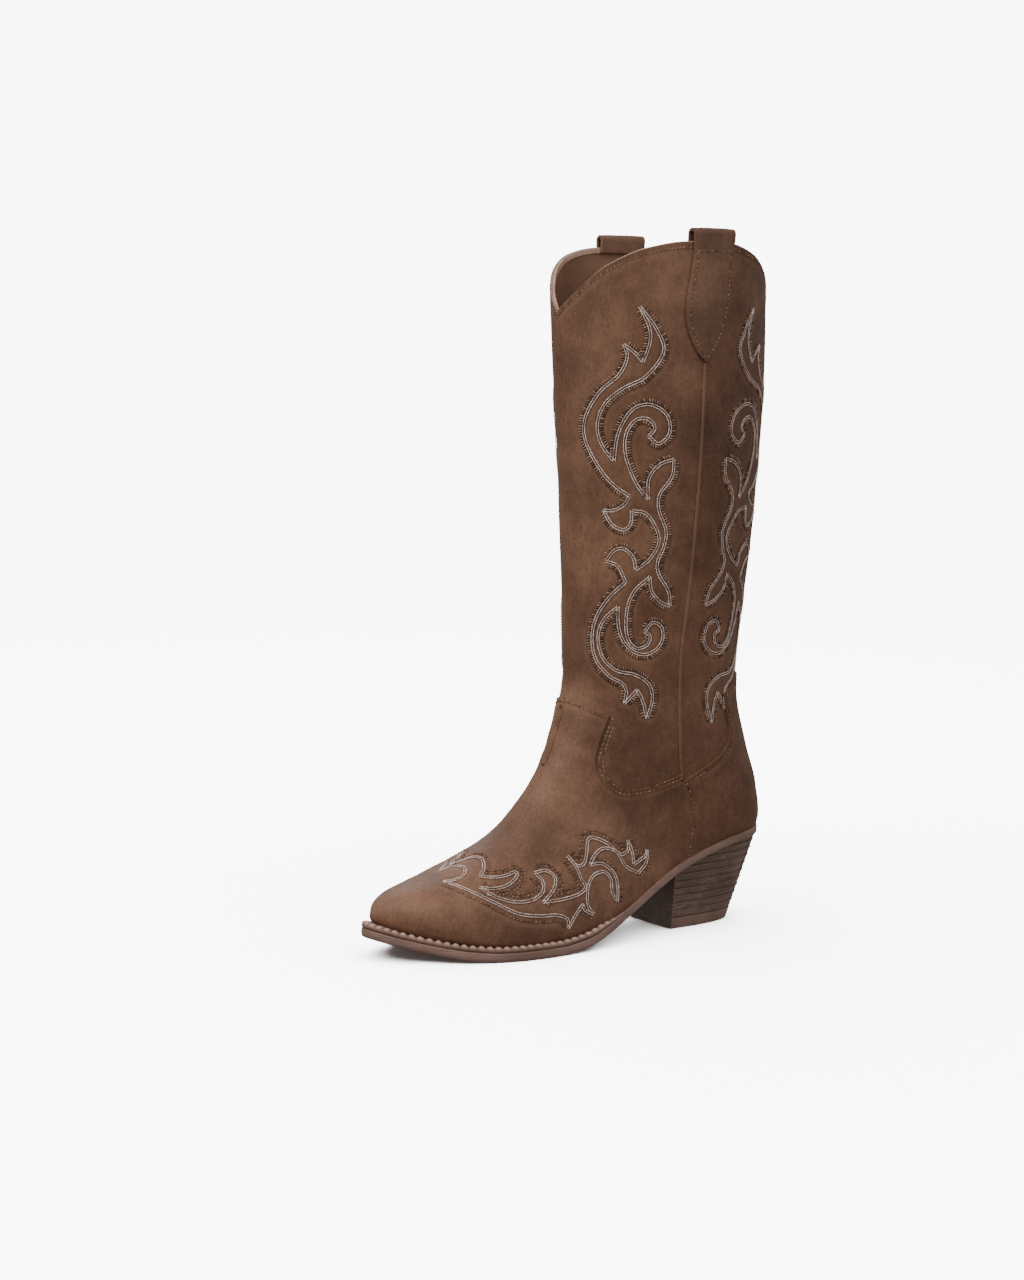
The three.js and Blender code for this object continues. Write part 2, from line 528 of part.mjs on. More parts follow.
function addHeel() {
  const nailBores = nailPlaces
    .map(([x, y]) => solidOf(nail(x, y, NAIL.radius + GAP, -1, NAIL.sunk + NAIL.long + GAP)))
    .reduce((all, one) => all.add(one));
  const screwTop = feather(SCREW.y - SCREW.head) + INSOLE - GAP;
  const screwFoot = screwTop - SCREW.long;
  const screwBore = solidOf(nail(0, SCREW.y, SCREW.radius + GAP, screwFoot - GAP, 120));
  const underSole = prism([...lineOf(ground, -GAP), new THREE.Vector2(SOLE_RANGE.to, -60),
    new THREE.Vector2(SOLE_RANGE.from, -60)], -FAR, FAR);
  const fits = (solid) => solid.intersect(underSole).subtract(nailBores).subtract(screwBore);
  add('heel_top_lift', fits(heelSlice(0, HEEL.topLift)), 'lift');
  const pitch = (heelTopZ - HEEL.topLift) / HEEL.lifts;
  for (let i = 0; i < HEEL.lifts; i += 1) {
    const low = HEEL.topLift + i * pitch + GAP;
    add(`heel_lift_${i + 1}`, fits(heelSlice(low, low + pitch - GAP)), 'stack');
  }
  nailPlaces.forEach(([x, y], i) => {
    add(`heel_nail_${i + 1}`, nail(x, y, NAIL.radius, NAIL.sunk, NAIL.sunk + NAIL.long), 'steel');
  });
  const profile = [[0, screwFoot], [SCREW.radius, screwFoot], [SCREW.radius, screwTop - SCREW.headThick],
    [SCREW.head, screwTop - SCREW.headThick], [SCREW.head, screwTop], [0, screwTop]]
    .map(([r, z]) => new THREE.Vector2(r, z));
  add('heel_screw', new THREE.LatheGeometry(profile, 12).rotateX(Math.PI / 2)
    .translate(0, SCREW.y, 0), 'steel');
}

// ---- pull straps: a leather ribbon folded over the top edge ----
function addPullStrap(name, side) {
  const [top, wall] = [SHAFT_PEAK, LEATHER + GAP + LINING];
  const legAt = wall / 2 + GAP + STRAP.thick / 2;
  const neck = top - 6;
  const outerLeg = [STRAP.tipZ, STRAP.tipZ + 3, STRAP.tipZ + 7, STRAP.tipZ + 13, STRAP.tipZ + 24,
    STRAP.tipZ + 44, neck].map((z) => [legAt, z]);
  const arc = Array.from({ length: 9 }, (_, i) => (i / 8) * Math.PI)
    .map((a) => [STRAP.loop * Math.cos(a), top + STRAP.lift + STRAP.loop * Math.sin(a)]);
  const innerLeg = [neck, STRAP.innerZ + 14, STRAP.innerZ].map((z) => [-legAt - STRAP.innerEase, z]);
  const path = [...outerLeg, ...arc, ...innerLeg].map(([x, z]) => new THREE.Vector2(x, z));
  const halfWidth = (p, i) => (i < outerLeg.length
    ? STRAP.half * Math.sqrt(1 - (1 - smooth(-4, 22, p.y - STRAP.tipZ)) ** 2) : STRAP.half);
  const across = 4;
  const faces = [1, -1].map((face) => path.map((p, i) => {
    const tangent = path[Math.min(i + 1, path.length - 1)].clone().sub(path[Math.max(i - 1, 0)]).normalize();
    return Array.from({ length: across + 1 }, (_, j) => {
      const y = lengthwise(STRAP.y) + halfWidth(p, i) * ((2 * j) / across - 1);
      const wallX = Math.abs(sideX(y, Math.min(p.y, top), side)) - wall / 2;
      const x = wallX + p.x + (face * tangent.y * STRAP.thick) / 2;
      return new THREE.Vector3(side * x, y, p.y - (face * tangent.x * STRAP.thick) / 2);
    });
  }));
  add(name, ribbon(faces[0], faces[1], side), 'strap');
}

// Closed body between two grids of points, the front grid facing out.
function ribbon(front, back, side) {
  const [rows, columns] = [front.length, front[0].length];
  const ring = (i) => [...front[i], ...back[i].toReversed()];
  const rings = front.map((_, i) => (side > 0 ? ring(i) : ring(i).reverse()));
  const count = 2 * columns;
  const points = rings.flat();
  const index = [];
  for (let i = 0; i < rows - 1; i += 1) {
    for (let j = 0; j < count; j += 1) {
      const [a, b] = [i * count + j, i * count + ((j + 1) % count)];
      index.push(a, b, a + count, b, b + count, a + count);
    }
  }
  const last = (rows - 1) * count;
  for (let j = 0; j < columns - 1; j += 1) {
    const [a, b, c, d] = [j, j + 1, count - 1 - j, count - 2 - j];
    index.push(a, c, b, b, c, d, last + a, last + b, last + c, last + b, last + d, last + c);
  }
  const geometry = new THREE.BufferGeometry().setFromPoints(points);
  geometry.setIndex(index);
  return geometry;
}

// ---- zip, in its own frame: x toward the heel, y outward, z up the chain, 0 at the top ----
const block = (x, y, z) => new THREE.BoxGeometry(x[1] - x[0], y[1] - y[0], z[1] - z[0])
  .translate((x[0] + x[1]) / 2, (y[0] + y[1]) / 2, (z[0] + z[1]) / 2);
const placed = (geometry) => geometry.applyMatrix4(zipFrame);
const join = (geometries) => geometries.map(solidOf).reduce((all, one) => all.add(one));
const AXLE = { y: 2.7, z: -4.5, radius: 0.6 };

function addZip() {
  const tapes = layer(evenly(LINING_AT), evenly(LINING_AT + TAPE.thick));
  const sides = { back: 1, front: -1 };
  for (const [name, sign] of Object.entries(sides)) {
    const band = [[sign * COIL.inner, 5], [sign * TAPE.wide, 5], [sign * TAPE.wide, -ZIP_LENGTH - 5],
      [sign * COIL.inner, -ZIP_LENGTH - 5]].map(([x, z]) => {
      const p = new THREE.Vector3(x, 0, z).applyMatrix4(zipFrame);
      return new THREE.Vector2(p.y, p.z);
    });
    add(`zip_tape_${name}`, tapes.intersect(prism(band, -FAR, -5)), 'tape');
    const span = [sign * COIL.inner, sign * COIL.outer].sort((a, b) => a - b);
    add(`zip_coil_${name}`, placed(block(span, [COIL.low, COIL.high], [-ZIP_LENGTH, 0])), 'coil');
  }
  const stop = (z) => placed(block([-COIL.outer, COIL.outer], [COIL.low, COIL.high], z));
  add('zip_top_stop', stop([GAP, GAP + 3]), 'brass');
  add('zip_bottom_stop', stop([-ZIP_LENGTH - GAP - 3, -ZIP_LENGTH - GAP]), 'brass');
  add('zip_guard', placed(block([-GUARD.half, GUARD.half], [-GUARD.depth - GUARD.thick, -GUARD.depth],
    [-ZIP_LENGTH - 4, 10])), 'lining');
  addSlider();
  addPull();
}

function addSlider() {
  const { half, plate, long } = SLIDER;
  const body = [-long, 0];
  const roof = COIL.high + GAP;
  const flange = COIL.outer + GAP;
  const slotTop = -LINING_AT + 2 * GAP;
  const slotFoot = -LINING_AT - TAPE.thick - 2 * GAP;
  const shell = join([
    block([-half, half], [roof, roof + plate], body),
    block([-half, half], [slotFoot - plate, slotFoot], body),
    block([flange, half], [slotTop, roof + 0.1], body),
    block([-half, -flange], [slotTop, roof + 0.1], body),
    block([-COIL.inner + 0.35, COIL.inner - 0.35], [slotFoot - 0.1, roof + 0.1], [-3, 0]),
    block([-0.9, 0.9], [roof + plate - 0.1, AXLE.y + 1.6], [AXLE.z - 3, AXLE.z + 3]),
  ]);
  const eye = solidOf(block([-2, 2], [AXLE.y - 0.9, AXLE.y + 0.9], [AXLE.z - 2, AXLE.z + 2]));
  add('zip_slider', placed(geometryOf(shell.subtract(eye))), 'brass');
}

function addPull() {
  const { half, neck, long, thick } = PULL;
  const span = [AXLE.y - thick / 2, AXLE.y + thick / 2];
  const arm = (x) => block(x, span, [AXLE.z - neck - 1, AXLE.z]);
  const axle = new THREE.CylinderGeometry(AXLE.radius, AXLE.radius, 4.4, 10).rotateZ(Math.PI / 2)
    .translate(0, AXLE.y, AXLE.z);
  const tab = [[-2.2, -neck], [2.2, -neck], [half, -neck - 4], [half, -long + 2], [half - 1.6, -long],
    [-half + 1.6, -long], [-half, -long + 2], [-half, -neck - 4]]
    .map(([x, z]) => new THREE.Vector2(x, z + AXLE.z));
  const plate = new THREE.ExtrudeGeometry(new THREE.Shape(ccw(tab)), { depth: thick, bevelEnabled: false })
    .rotateX(Math.PI / 2).translate(0, AXLE.y + thick / 2, 0);
  add('zip_pull', placed(geometryOf(join([axle, arm([1.3, 2.2]), arm([-2.2, -1.3]), plate]))), 'brass');
}

addOuterLeather();
addSideWelt();
addBinding();
addLining();
addStiffeners();
addBottom();
addHeel();
addPullStrap('pull_strap_outer', 1);
addPullStrap('pull_strap_inner', -1);
addZip();

export default boot;
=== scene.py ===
"""A tall western boot: embroidered leather panels laid over a last, a welt, a stacked heel and a zip."""
import json
import math

import bpy
import numpy as np
from mathutils import Matrix, Vector, kdtree


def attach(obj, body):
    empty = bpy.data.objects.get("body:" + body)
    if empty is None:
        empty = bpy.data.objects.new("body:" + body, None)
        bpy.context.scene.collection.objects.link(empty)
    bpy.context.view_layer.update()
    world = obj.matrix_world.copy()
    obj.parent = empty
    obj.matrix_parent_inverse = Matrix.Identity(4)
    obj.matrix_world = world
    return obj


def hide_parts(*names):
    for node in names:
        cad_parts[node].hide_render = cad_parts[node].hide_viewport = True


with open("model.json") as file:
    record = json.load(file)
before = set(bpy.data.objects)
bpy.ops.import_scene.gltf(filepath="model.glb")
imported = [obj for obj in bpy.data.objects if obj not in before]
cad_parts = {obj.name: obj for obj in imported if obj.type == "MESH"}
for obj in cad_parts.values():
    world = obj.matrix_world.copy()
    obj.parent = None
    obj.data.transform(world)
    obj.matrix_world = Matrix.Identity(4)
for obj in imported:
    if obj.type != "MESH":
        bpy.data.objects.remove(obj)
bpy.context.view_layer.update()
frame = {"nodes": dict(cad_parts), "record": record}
bpy.ops.object.select_all(action="DESELECT")
MM = 0.001
dice = np.random.default_rng(11)

# ---- the last: cross-sections from the top of the shaft to the toe, in millimetres ----
# Front point y z, back point y z, half width outside and inside, where it is widest, and how blunt.
SECTIONS = np.array([
    [-92, 406, 52, 406, 49, 48, 0.5, 1.25, 1.22],
    [-90.5, 343, 52, 343, 49, 48, 0.5, 1.22, 1.2],
    [-86.5, 282, 47.5, 282, 48, 46, 0.5, 1.2, 1.18],
    [-84, 222, 41.5, 222, 44.5, 42.2, 0.5, 1.15, 1.12],
    [-82.5, 177, 34, 174, 40, 39.4, 0.5, 1.1, 1.08],
    [-83, 148, 31, 138, 37.5, 37.6, 0.52, 1.05, 1],
    [-89, 124, 38, 106, 36.5, 36.2, 0.56, 1, 0.95],
    [-96, 106, 46, 80, 35.5, 35.2, 0.6, 0.98, 0.88],
    [-104.5, 91.5, 44.5, 54, 33.5, 33.8, 0.66, 0.95, 0.8],
    [-114.5, 79.5, 10, 41, 33, 32.9, 0.72, 0.92, 0.75],
    [-127.5, 66.5, -42, 18, 37, 36, 0.8, 0.92, 0.65],
    [-143.5, 56, -92, 5, 42, 40, 0.84, 0.92, 0.6],
    [-163, 47, -138, 3, 42, 41, 0.84, 0.92, 0.6],
    [-180, 40.5, -168, 6, 35, 35.5, 0.8, 0.9, 0.6],
    [-194, 36, -188, 11, 24, 25.5, 0.74, 0.85, 0.65],
    [-203, 31.5, -201, 16, 12.5, 14.5, 0.66, 0.8, 0.75],
    [-208, 27.5, -207.5, 20.5, 4, 4, 0.6, 0.9, 0.9],
])
LAST = len(SECTIONS) - 1
GROUND = np.array([
    [-216, 12.8], [-200, 8], [-185, 4.2], [-168, 1.3], [-152, 0], [-118, 0], [-100, 2.2], [-85, 7],
    [-65, 16.2], [-45, 27.6], [-25, 37], [-5, 43.3], [15, 47.9], [35, 50.4], [56, 51.6]])
TOP_SHARE = np.array([[0, 0], [20, 0.3], [40, 0.67], [60, 0.9], [80, 0.99], [100, 0.99], [120, 0.88],
                      [140, 0.62], [160, 0.27], [180, 0]])
SHAFT_PEAK, SHAFT_DIP = 401.5, 361.0
LEATHER, LINING, LAP = 1.6, 1.0, 1.3
OUTSOLE, WELT, WELT_BEYOND, SHANK_BEYOND, TOE_BEYOND = 5.0, 3.5, 5.0, 2.4, 5.5
ZIP_TOP = np.array([-43.6, -20.0, 246.0])
ZIP_FOOT = np.array([-33.1, -35.5, 62.0])
ZIP_HALF_SLOT = 4.2
ZIP_SLOPE = 1.0035          # a distance along the ground for one square to the zip


def smooth(a, b, x):
    t = np.clip((x - a) / (b - a), 0, 1)
    return t * t * (3 - 2 * t)


def unit(vectors):
    return vectors / np.linalg.norm(vectors, axis=-1, keepdims=True)


def on_curve(a, b, c, d, f):
    """The point a share f of the way from b to c, on a smooth curve through four."""
    return 0.5 * (2 * b + (c - a) * f + (2 * a - 5 * b + 4 * c - d) * f ** 2
                  + (3 * b - a - 3 * c + d) * f ** 3)


def narrow(low, high, holds, steps=36):
    """Halves an interval again and again, to find where a test stops holding."""
    for _ in range(steps):
        middle = (low + high) / 2
        held = holds(middle)
        low, high = np.where(held, middle, low), np.where(held, high, middle)
    return low


def run_of(points):
    """The distance run along a polyline, at each of its points."""
    return np.concatenate([[0], np.cumsum(np.linalg.norm(np.diff(points, axis=0), axis=1))])


def resample(at, run, table):
    """Rows of a table at new places along the run that its rows have."""
    return np.stack([np.interp(at, run, table[:, k]) for k in range(table.shape[1])], 1)


def evenly(points, count):
    """Points at even distances along a polyline."""
    run = run_of(points)
    return resample(np.linspace(0, run[-1], count), run, points)


def middles(length, count):
    """The middles of equal stretches of a length."""
    return (np.arange(count) + 0.5) * length / count


def monotone(pairs):
    """Curve through [x, value] rows that is flat where two neighbours are level."""
    x, y = pairs[:, 0], pairs[:, 1]
    step, rise = np.diff(x), np.diff(y) / np.diff(x)
    inner = np.where(rise[:-1] * rise[1:] <= 0, 0,
                     2 * rise[:-1] * rise[1:] / np.where(rise[:-1] + rise[1:] == 0, 1, rise[:-1] + rise[1:]))
    slope = np.concatenate([[rise[0]], inner, [rise[-1]]])

    def value(at):
        at = np.clip(at, x[0], x[-1])
        i = np.clip(np.searchsorted(x, at, side="right") - 1, 0, len(step) - 1)
        h, t = step[i], (at - x[i]) / step[i]
        p, q, m, k = y[i], y[i + 1], slope[i] * h, slope[i + 1] * h
        return p + m * t + (3 * (q - p) - 2 * m - k) * t ** 2 + (2 * (p - q) + m + k) * t ** 3
    return value


ground = monotone(GROUND)
top_share = monotone(TOP_SHARE)


def welt_thick(y):
    return WELT * (1 - smooth(-96, -64, y))


def feather(y):
    """Where the upper meets the welt or the sole."""
    return ground(y) + OUTSOLE + 0.3 + welt_thick(y)


def section_at(v):
    v = np.clip(np.asarray(v, float), 0, LAST - 1e-9)
    i = np.floor(v).astype(int)
    f = (v - i)[..., None]
    return on_curve(*(SECTIONS[np.clip(i + k, 0, LAST)] for k in (-1, 0, 1, 2)), f)


def zip_line(z):
    """x and y of the zip's centre line at a height."""
    share = (ZIP_TOP[2] - z) / (ZIP_TOP[2] - ZIP_FOOT[2])
    return (ZIP_TOP[0] + share * (ZIP_FOOT[0] - ZIP_TOP[0]),
            ZIP_TOP[1] + share * (ZIP_FOOT[1] - ZIP_TOP[1]))


def skin(v, angle):
    """Points of the upper's surface: v runs down and forward, the angle goes round from the front
    over the outer side to the back, and on over the inner side."""
    v, angle = np.broadcast_arrays(np.asarray(v, float), np.asarray(angle, float))
    fy, fz, by, bz, outer, inner, widest, blunt, blunt_back = np.moveaxis(section_at(v), -1, 0)
    c, s = np.cos(angle), np.sin(angle)
    t = np.where(c > 0, widest * (1 - c), widest - (1 - widest) * c)
    share = (1 - c) / 2
    reach = np.where(s >= 0, outer, inner) * np.abs(s) ** (blunt * (1 - share) + blunt_back * share)
    y, z = fy + (by - fy) * t, fz + (bz - fz) * t
    x = np.sign(s) * reach - 6 * np.clip((-y - 120) / 90, 0, 1) ** 1.5
    zip_x, zip_y = zip_line(z)
    away = np.abs(y - zip_y) / math.hypot(1, 15.5 / 184)
    flat = (1 - smooth(9, 24, away)) * smooth(36, 56, z) * (1 - smooth(254, 296, z)) * (s < 0)
    return np.stack([x + (zip_x - x) * flat, y, z], -1)


def outward(v, angle):
    """Unit normals of the surface."""
    v, angle = np.broadcast_arrays(np.asarray(v, float), np.asarray(angle, float))
    e = 0.02
    low = np.clip(v, 0, LAST - 2 * e)
    around = skin(v, angle + e) - skin(v, angle - e)
    down = skin(low + e, angle) - skin(np.maximum(low - e, 0), angle)
    return unit(-np.cross(around, down))


def locate(y, z):
    """v and angle of a place seen from the side."""
    y, z = np.broadcast_arrays(np.asarray(y, float), np.asarray(z, float))

    def beyond(v):
        fy, fz, by, bz = np.moveaxis(section_at(v), -1, 0)[:4]
        return (y - fy) * (bz - fz) - (z - fz) * (by - fy) > 0
    v = narrow(np.zeros(y.shape), np.full(y.shape, LAST - 1e-6), beyond, 40)
    fy, fz, by, bz, _, _, widest = np.moveaxis(section_at(v), -1, 0)[:7]
    t = ((y - fy) * (by - fy) + (z - fz) * (bz - fz)) / ((by - fy) ** 2 + (bz - fz) ** 2)
    c = np.where(t < widest, 1 - t / widest, -(t - widest) / (1 - widest))
    return v, np.arccos(np.clip(c, -1, 1))


def v_at(height, angle):
    """v where the surface has a height, at an angle."""
    height, angle = np.broadcast_arrays(np.asarray(height, float), np.asarray(angle, float))
    return narrow(np.zeros(height.shape), np.full(height.shape, 10.0),
                  lambda v: skin(v, angle)[..., 2] > height)


def rim(angle, below):
    """v a distance below the top edge, at each angle."""
    round_from_front = np.degrees(np.abs((angle + math.pi) % (2 * math.pi) - math.pi))
    return v_at(SHAFT_DIP + (SHAFT_PEAK - SHAFT_DIP) * top_share(round_from_front) - below, angle)


def angle_at_feather(v, side):
    """How far round the upper goes before it meets the welt, at each v."""
    def above(angle):
        p = skin(v, side * angle)
        return p[..., 2] > feather(p[..., 1]) - 1.0
    return narrow(np.full(v.shape, math.pi / 2), np.full(v.shape, math.pi), above)


def spline(points, step=0.06):
    """Smooth curve through points, with a sample for each step of the control number."""
    p = np.asarray(points, float)
    p = np.concatenate([[2 * p[0] - p[1]], p, [2 * p[-1] - p[-2]]])
    n = len(p) - 3
    at = np.linspace(0, n, int(math.ceil(n / step)) + 1)
    i = np.minimum(at.astype(int), n - 1)
    f = (at - i)[:, None]
    return on_curve(p[i], p[i + 1], p[i + 2], p[i + 3], f)


# ---- finishes ----
def tone(red, green, blue):
    """A colour given as on a screen, from 0 to 255."""
    def linear(c):
        c /= 255
        return c / 12.92 if c <= 0.04045 else ((c + 0.055) / 1.055) ** 2.4
    return (linear(red), linear(green), linear(blue), 1.0)


class Value:
    """A number that varies over a surface, with Python's operators for its maths."""

    def __init__(self, finish, socket):
        self.finish, self.socket = finish, socket

    def _math(self, operation, first, second):
        return self.finish.node("ShaderNodeMath", {"operation": operation}, {0: first, 1: second})

    def __add__(self, other):
        return self._math("ADD", self, other)

    def __sub__(self, other):
        return self._math("SUBTRACT", self, other)

    def __rsub__(self, other):
        return self._math("SUBTRACT", other, self)

    def __mul__(self, other):
        return self._math("MULTIPLY", self, other)

    __radd__, __rmul__ = __add__, __mul__

    def between(self, low, high):
        """0 below low, 1 above high, smooth between."""
        return self.finish.node("ShaderNodeMapRange", {"interpolation_type": "SMOOTHSTEP"},
                                {"Value": self, "From Min": low, "From Max": high}, "Result")


class Finish:
    """One material: its shader and the nodes that feed it."""

    def __init__(self, name, **plain):
        self.material = bpy.data.materials.new(name)
        self.material.use_nodes = True
        self.tree = self.material.node_tree
        self.shader = self.tree.nodes["Principled BSDF"]
        for socket, value in plain.items():
            self.shader.inputs[socket.replace("_", " ")].default_value = value

    def node(self, kind, settings=None, inputs=None, output=0):
        node = self.tree.nodes.new(kind)
        for key, value in (settings or {}).items():
            if key == "stops":
                ramp = node.color_ramp.elements
                while len(ramp) < len(value):
                    ramp.new(1.0)
                for stop, (place, colour) in zip(ramp, value):
                    stop.position, stop.color = place, colour
            else:
                setattr(node, key, value)
        for key, value in (inputs or {}).items():
            if isinstance(value, Value):
                self.tree.links.new(value.socket, node.inputs[key])
            else:
                node.inputs[key].default_value = value
        return Value(self, node.outputs[output])

    def place(self):
        return self.node("ShaderNodeTexCoord", output="Object")

    def stretched(self, scale, turn=(0, 0, 0)):
        return self.node("ShaderNodeMapping", {}, {"Vector": self.place(), "Scale": scale, "Rotation": turn})

    def noise(self, scale, detail=3.0, rough=0.55, at=None):
        return self.node("ShaderNodeTexNoise", {}, {"Vector": at or self.place(), "Scale": scale,
                                                    "Detail": detail, "Roughness": rough})

    def cells(self, scale, at=None, feature="F1"):
        return self.node("ShaderNodeTexVoronoi", {"feature": feature},
                         {"Vector": at or self.place(), "Scale": scale}, "Distance")

    def made(self, name):
        return self.node("ShaderNodeAttribute", {"attribute_name": name}, {}, "Fac")

    def mix(self, share, first, second):
        return self.node("ShaderNodeMix", {"data_type": "RGBA"}, {0: share, 6: first, 7: second}, 2)

    def ramp(self, value, *stops):
        return self.node("ShaderNodeValToRGB", {"stops": stops}, {"Fac": value})

    def bump(self, height, strength, distance):
        return self.node("ShaderNodeBump", {}, {"Height": height, "Strength": strength, "Distance": distance})

    def feed(self, **sockets):
        for socket, value in sockets.items():
            self.tree.links.new(value.socket, self.shader.inputs[socket.replace("_", " ")])
        return self.material


def leather_finish(name, dark, middle, light):
    """Waxed pull-up leather: cloudy, speckled with fine grain and scuffed, with painted shade along the
    stitch grooves where the stitching pulls it down, and painted highlight on the swollen puffs, crease
    crests and raised cords."""
    f = Finish(name, Specular_IOR_Level=0.3, IOR=1.5)
    cloud = f.noise(15, 3, 0.55)
    patch = f.noise(48, 4, 0.6)
    speck = f.noise(620, 3, 0.65)
    scuff = f.noise(1, 4, 0.65, f.stretched((700, 240, 160), (0.5, 0.9, 0.4)))
    grain = f.noise(1700, 3, 0.6)
    mixed = cloud * 0.42 + patch * 0.26 + speck * 0.18 + scuff * 0.14
    colour = f.ramp(mixed, (0.38, dark), (0.5, middle), (0.63, light))
    colour = f.mix((1 - grain.between(0.35, 0.6)) * 0.2, colour, dark)
    pores = f.cells(900)
    creases = f.cells(210, f.stretched((1, 1, 0.55)), "DISTANCE_TO_EDGE").between(0.0, 0.16)
    # painted shade: darker along the stitch grooves, where the leather is drawn down
    stitch_groove_shade = 1 - f.made("stitch_gap").between(0.15, 1.3)
    colour = f.mix(stitch_groove_shade * 0.5, colour, dark)
    # painted highlight: lighter on the swollen puffs between stitch rows, on crease crests and on raised
    # cords
    colour = f.mix(f.made("rub") * 0.5, colour, light)
    return f.feed(Base_Color=colour, Roughness=patch * 0.14 + grain * 0.1 + 0.5 + stitch_groove_shade * 0.08,
                  Normal=f.bump(grain * 0.45 + pores * 0.3 + scuff * 0.5 + creases * 0.1, 0.3, 0.0003))


def thread_finish(name, dark, light):
    """Twisted thread: fine plies along each stitch and a small change of shade from stitch to stitch."""
    f = Finish(name, Specular_IOR_Level=0.3)
    fibre = f.noise(5200, 2, 0.6)
    share = f.made("shade") * 0.55 + fibre * 0.45
    return f.feed(Base_Color=f.ramp(share, (0.2, dark), (0.8, light)),
                  Roughness=0.62 + fibre * 0.2, Normal=f.bump(fibre, 0.5, 0.0001))


def mottled_finish(name, dark, light, fine, broad, share, rough, pits, gloss, ends=(0.3, 0.7)):
    """Two noises, fine and broad, in the share that the fine one has. The fine one also roughens the
    surface, by an amount over a base, and pits it, by a strength and a depth."""
    f = Finish(name, Specular_IOR_Level=gloss)
    fleck, cloud = f.noise(*fine), f.noise(*broad)
    return f.feed(Base_Color=f.ramp(fleck * share + cloud * (1 - share), (ends[0], dark), (ends[1], light)),
                  Roughness=rough[0] + fleck * rough[1], Normal=f.bump(fleck, *pits))


def edge_finish(name, dark, light):
    return mottled_finish(name, dark, light, (2600, 4, 0.7), (60, 3), 0.5, (0.55, 0.25), (0.3, 0.0002), 0.35,
                          (0.32, 0.68))


def rubber_finish(name, dark, light):
    return mottled_finish(name, dark, light, (1400, 3, 0.6), (40, 4), 0.4, (0.55, 0.25), (0.3, 0.0003), 0.35)


def board_finish(name, dark, light, grain):
    return mottled_finish(name, dark, light, (grain, 4, 0.7), (50, 3), 0.6, (0.75, 0.2), (0.4, 0.0004), 0.25)


def sole_finish():
    """Dyed and burnished sole edge: fine lines along the cut and scuffs."""
    f = Finish("burnished sole edge", Specular_IOR_Level=0.4)
    cloud = f.noise(26, 4, 0.6)
    scuff = f.noise(1, 5, 0.7, f.stretched((90, 60, 900)))
    fleck = f.noise(1900, 2, 0.6)
    colour = f.ramp(cloud * 0.5 + scuff * 0.35 + fleck * 0.15, (0.34, tone(103, 78, 68)),
                    (0.52, tone(130, 101, 90)), (0.68, tone(151, 121, 108)))
    return f.feed(Base_Color=colour, Roughness=0.44 + scuff * 0.25,
                  Normal=f.bump(scuff * 0.6 + fleck * 0.4, 0.25, 0.0003))


def welt_finish():
    f = Finish("welt with painted highlights", Specular_IOR_Level=0.35)
    fleck = f.noise(1700, 3, 0.6)
    cloud = f.noise(70, 3)
    # painted highlight: the bump crowns and the top face take the light tones, the side and the dips between
    # bumps the dark ones
    crown = f.made("crown")
    colour = f.mix(crown, f.ramp(cloud, (0.35, tone(96, 70, 58)), (0.7, tone(118, 88, 74))),
                   f.ramp(cloud * 0.6 + fleck * 0.4, (0.3, tone(154, 122, 107)), (0.7, tone(192, 160, 144))))
    return f.feed(Base_Color=colour, Roughness=0.5 + fleck * 0.2, Normal=f.bump(fleck, 0.3, 0.0003))


def heel_finish():
    """Stacked leather, dyed dark, with its fibre lying flat."""
    f = Finish("dark stacked leather", Specular_IOR_Level=0.4)
    fibre = f.noise(1, 5, 0.7, f.stretched((120, 120, 1300)))
    cloud = f.noise(45, 3)
    colour = f.ramp(fibre * 0.6 + cloud * 0.4, (0.32, tone(70, 54, 46)), (0.5, tone(102, 82, 71)),
                    (0.68, tone(140, 115, 102)))
    return f.feed(Base_Color=colour, Roughness=0.42 + fibre * 0.25, Normal=f.bump(fibre, 0.4, 0.0003))


def tape_finish():
    """Woven zip tape: crossed ribs."""
    f = Finish("woven zip tape", Specular_IOR_Level=0.2)
    ribs = f.node("ShaderNodeTexWave", {"wave_type": "BANDS", "bands_direction": "Z"},
                  {"Vector": f.place(), "Scale": 420.0, "Distortion": 0.6}, "Fac")
    fibre = f.noise(3000, 2)
    colour = f.ramp(ribs * 0.5 + fibre * 0.5, (0.2, tone(30, 21, 17)), (0.8, tone(72, 51, 40)))
    return f.feed(Base_Color=colour, Roughness=0.8 + fibre * 0.15, Normal=f.bump(ribs + fibre, 0.5, 0.0002))


def metal_finish(name, dark, light):
    f = Finish(name, Metallic=1.0)
    worn = f.noise(120, 4, 0.6)
    fine = f.noise(2600, 2)
    return f.feed(Base_Color=f.ramp(worn * 0.7 + fine * 0.3, (0.3, dark), (0.7, light)),
                  Roughness=0.3 + worn * 0.25, Normal=f.bump(fine, 0.15, 0.0001))


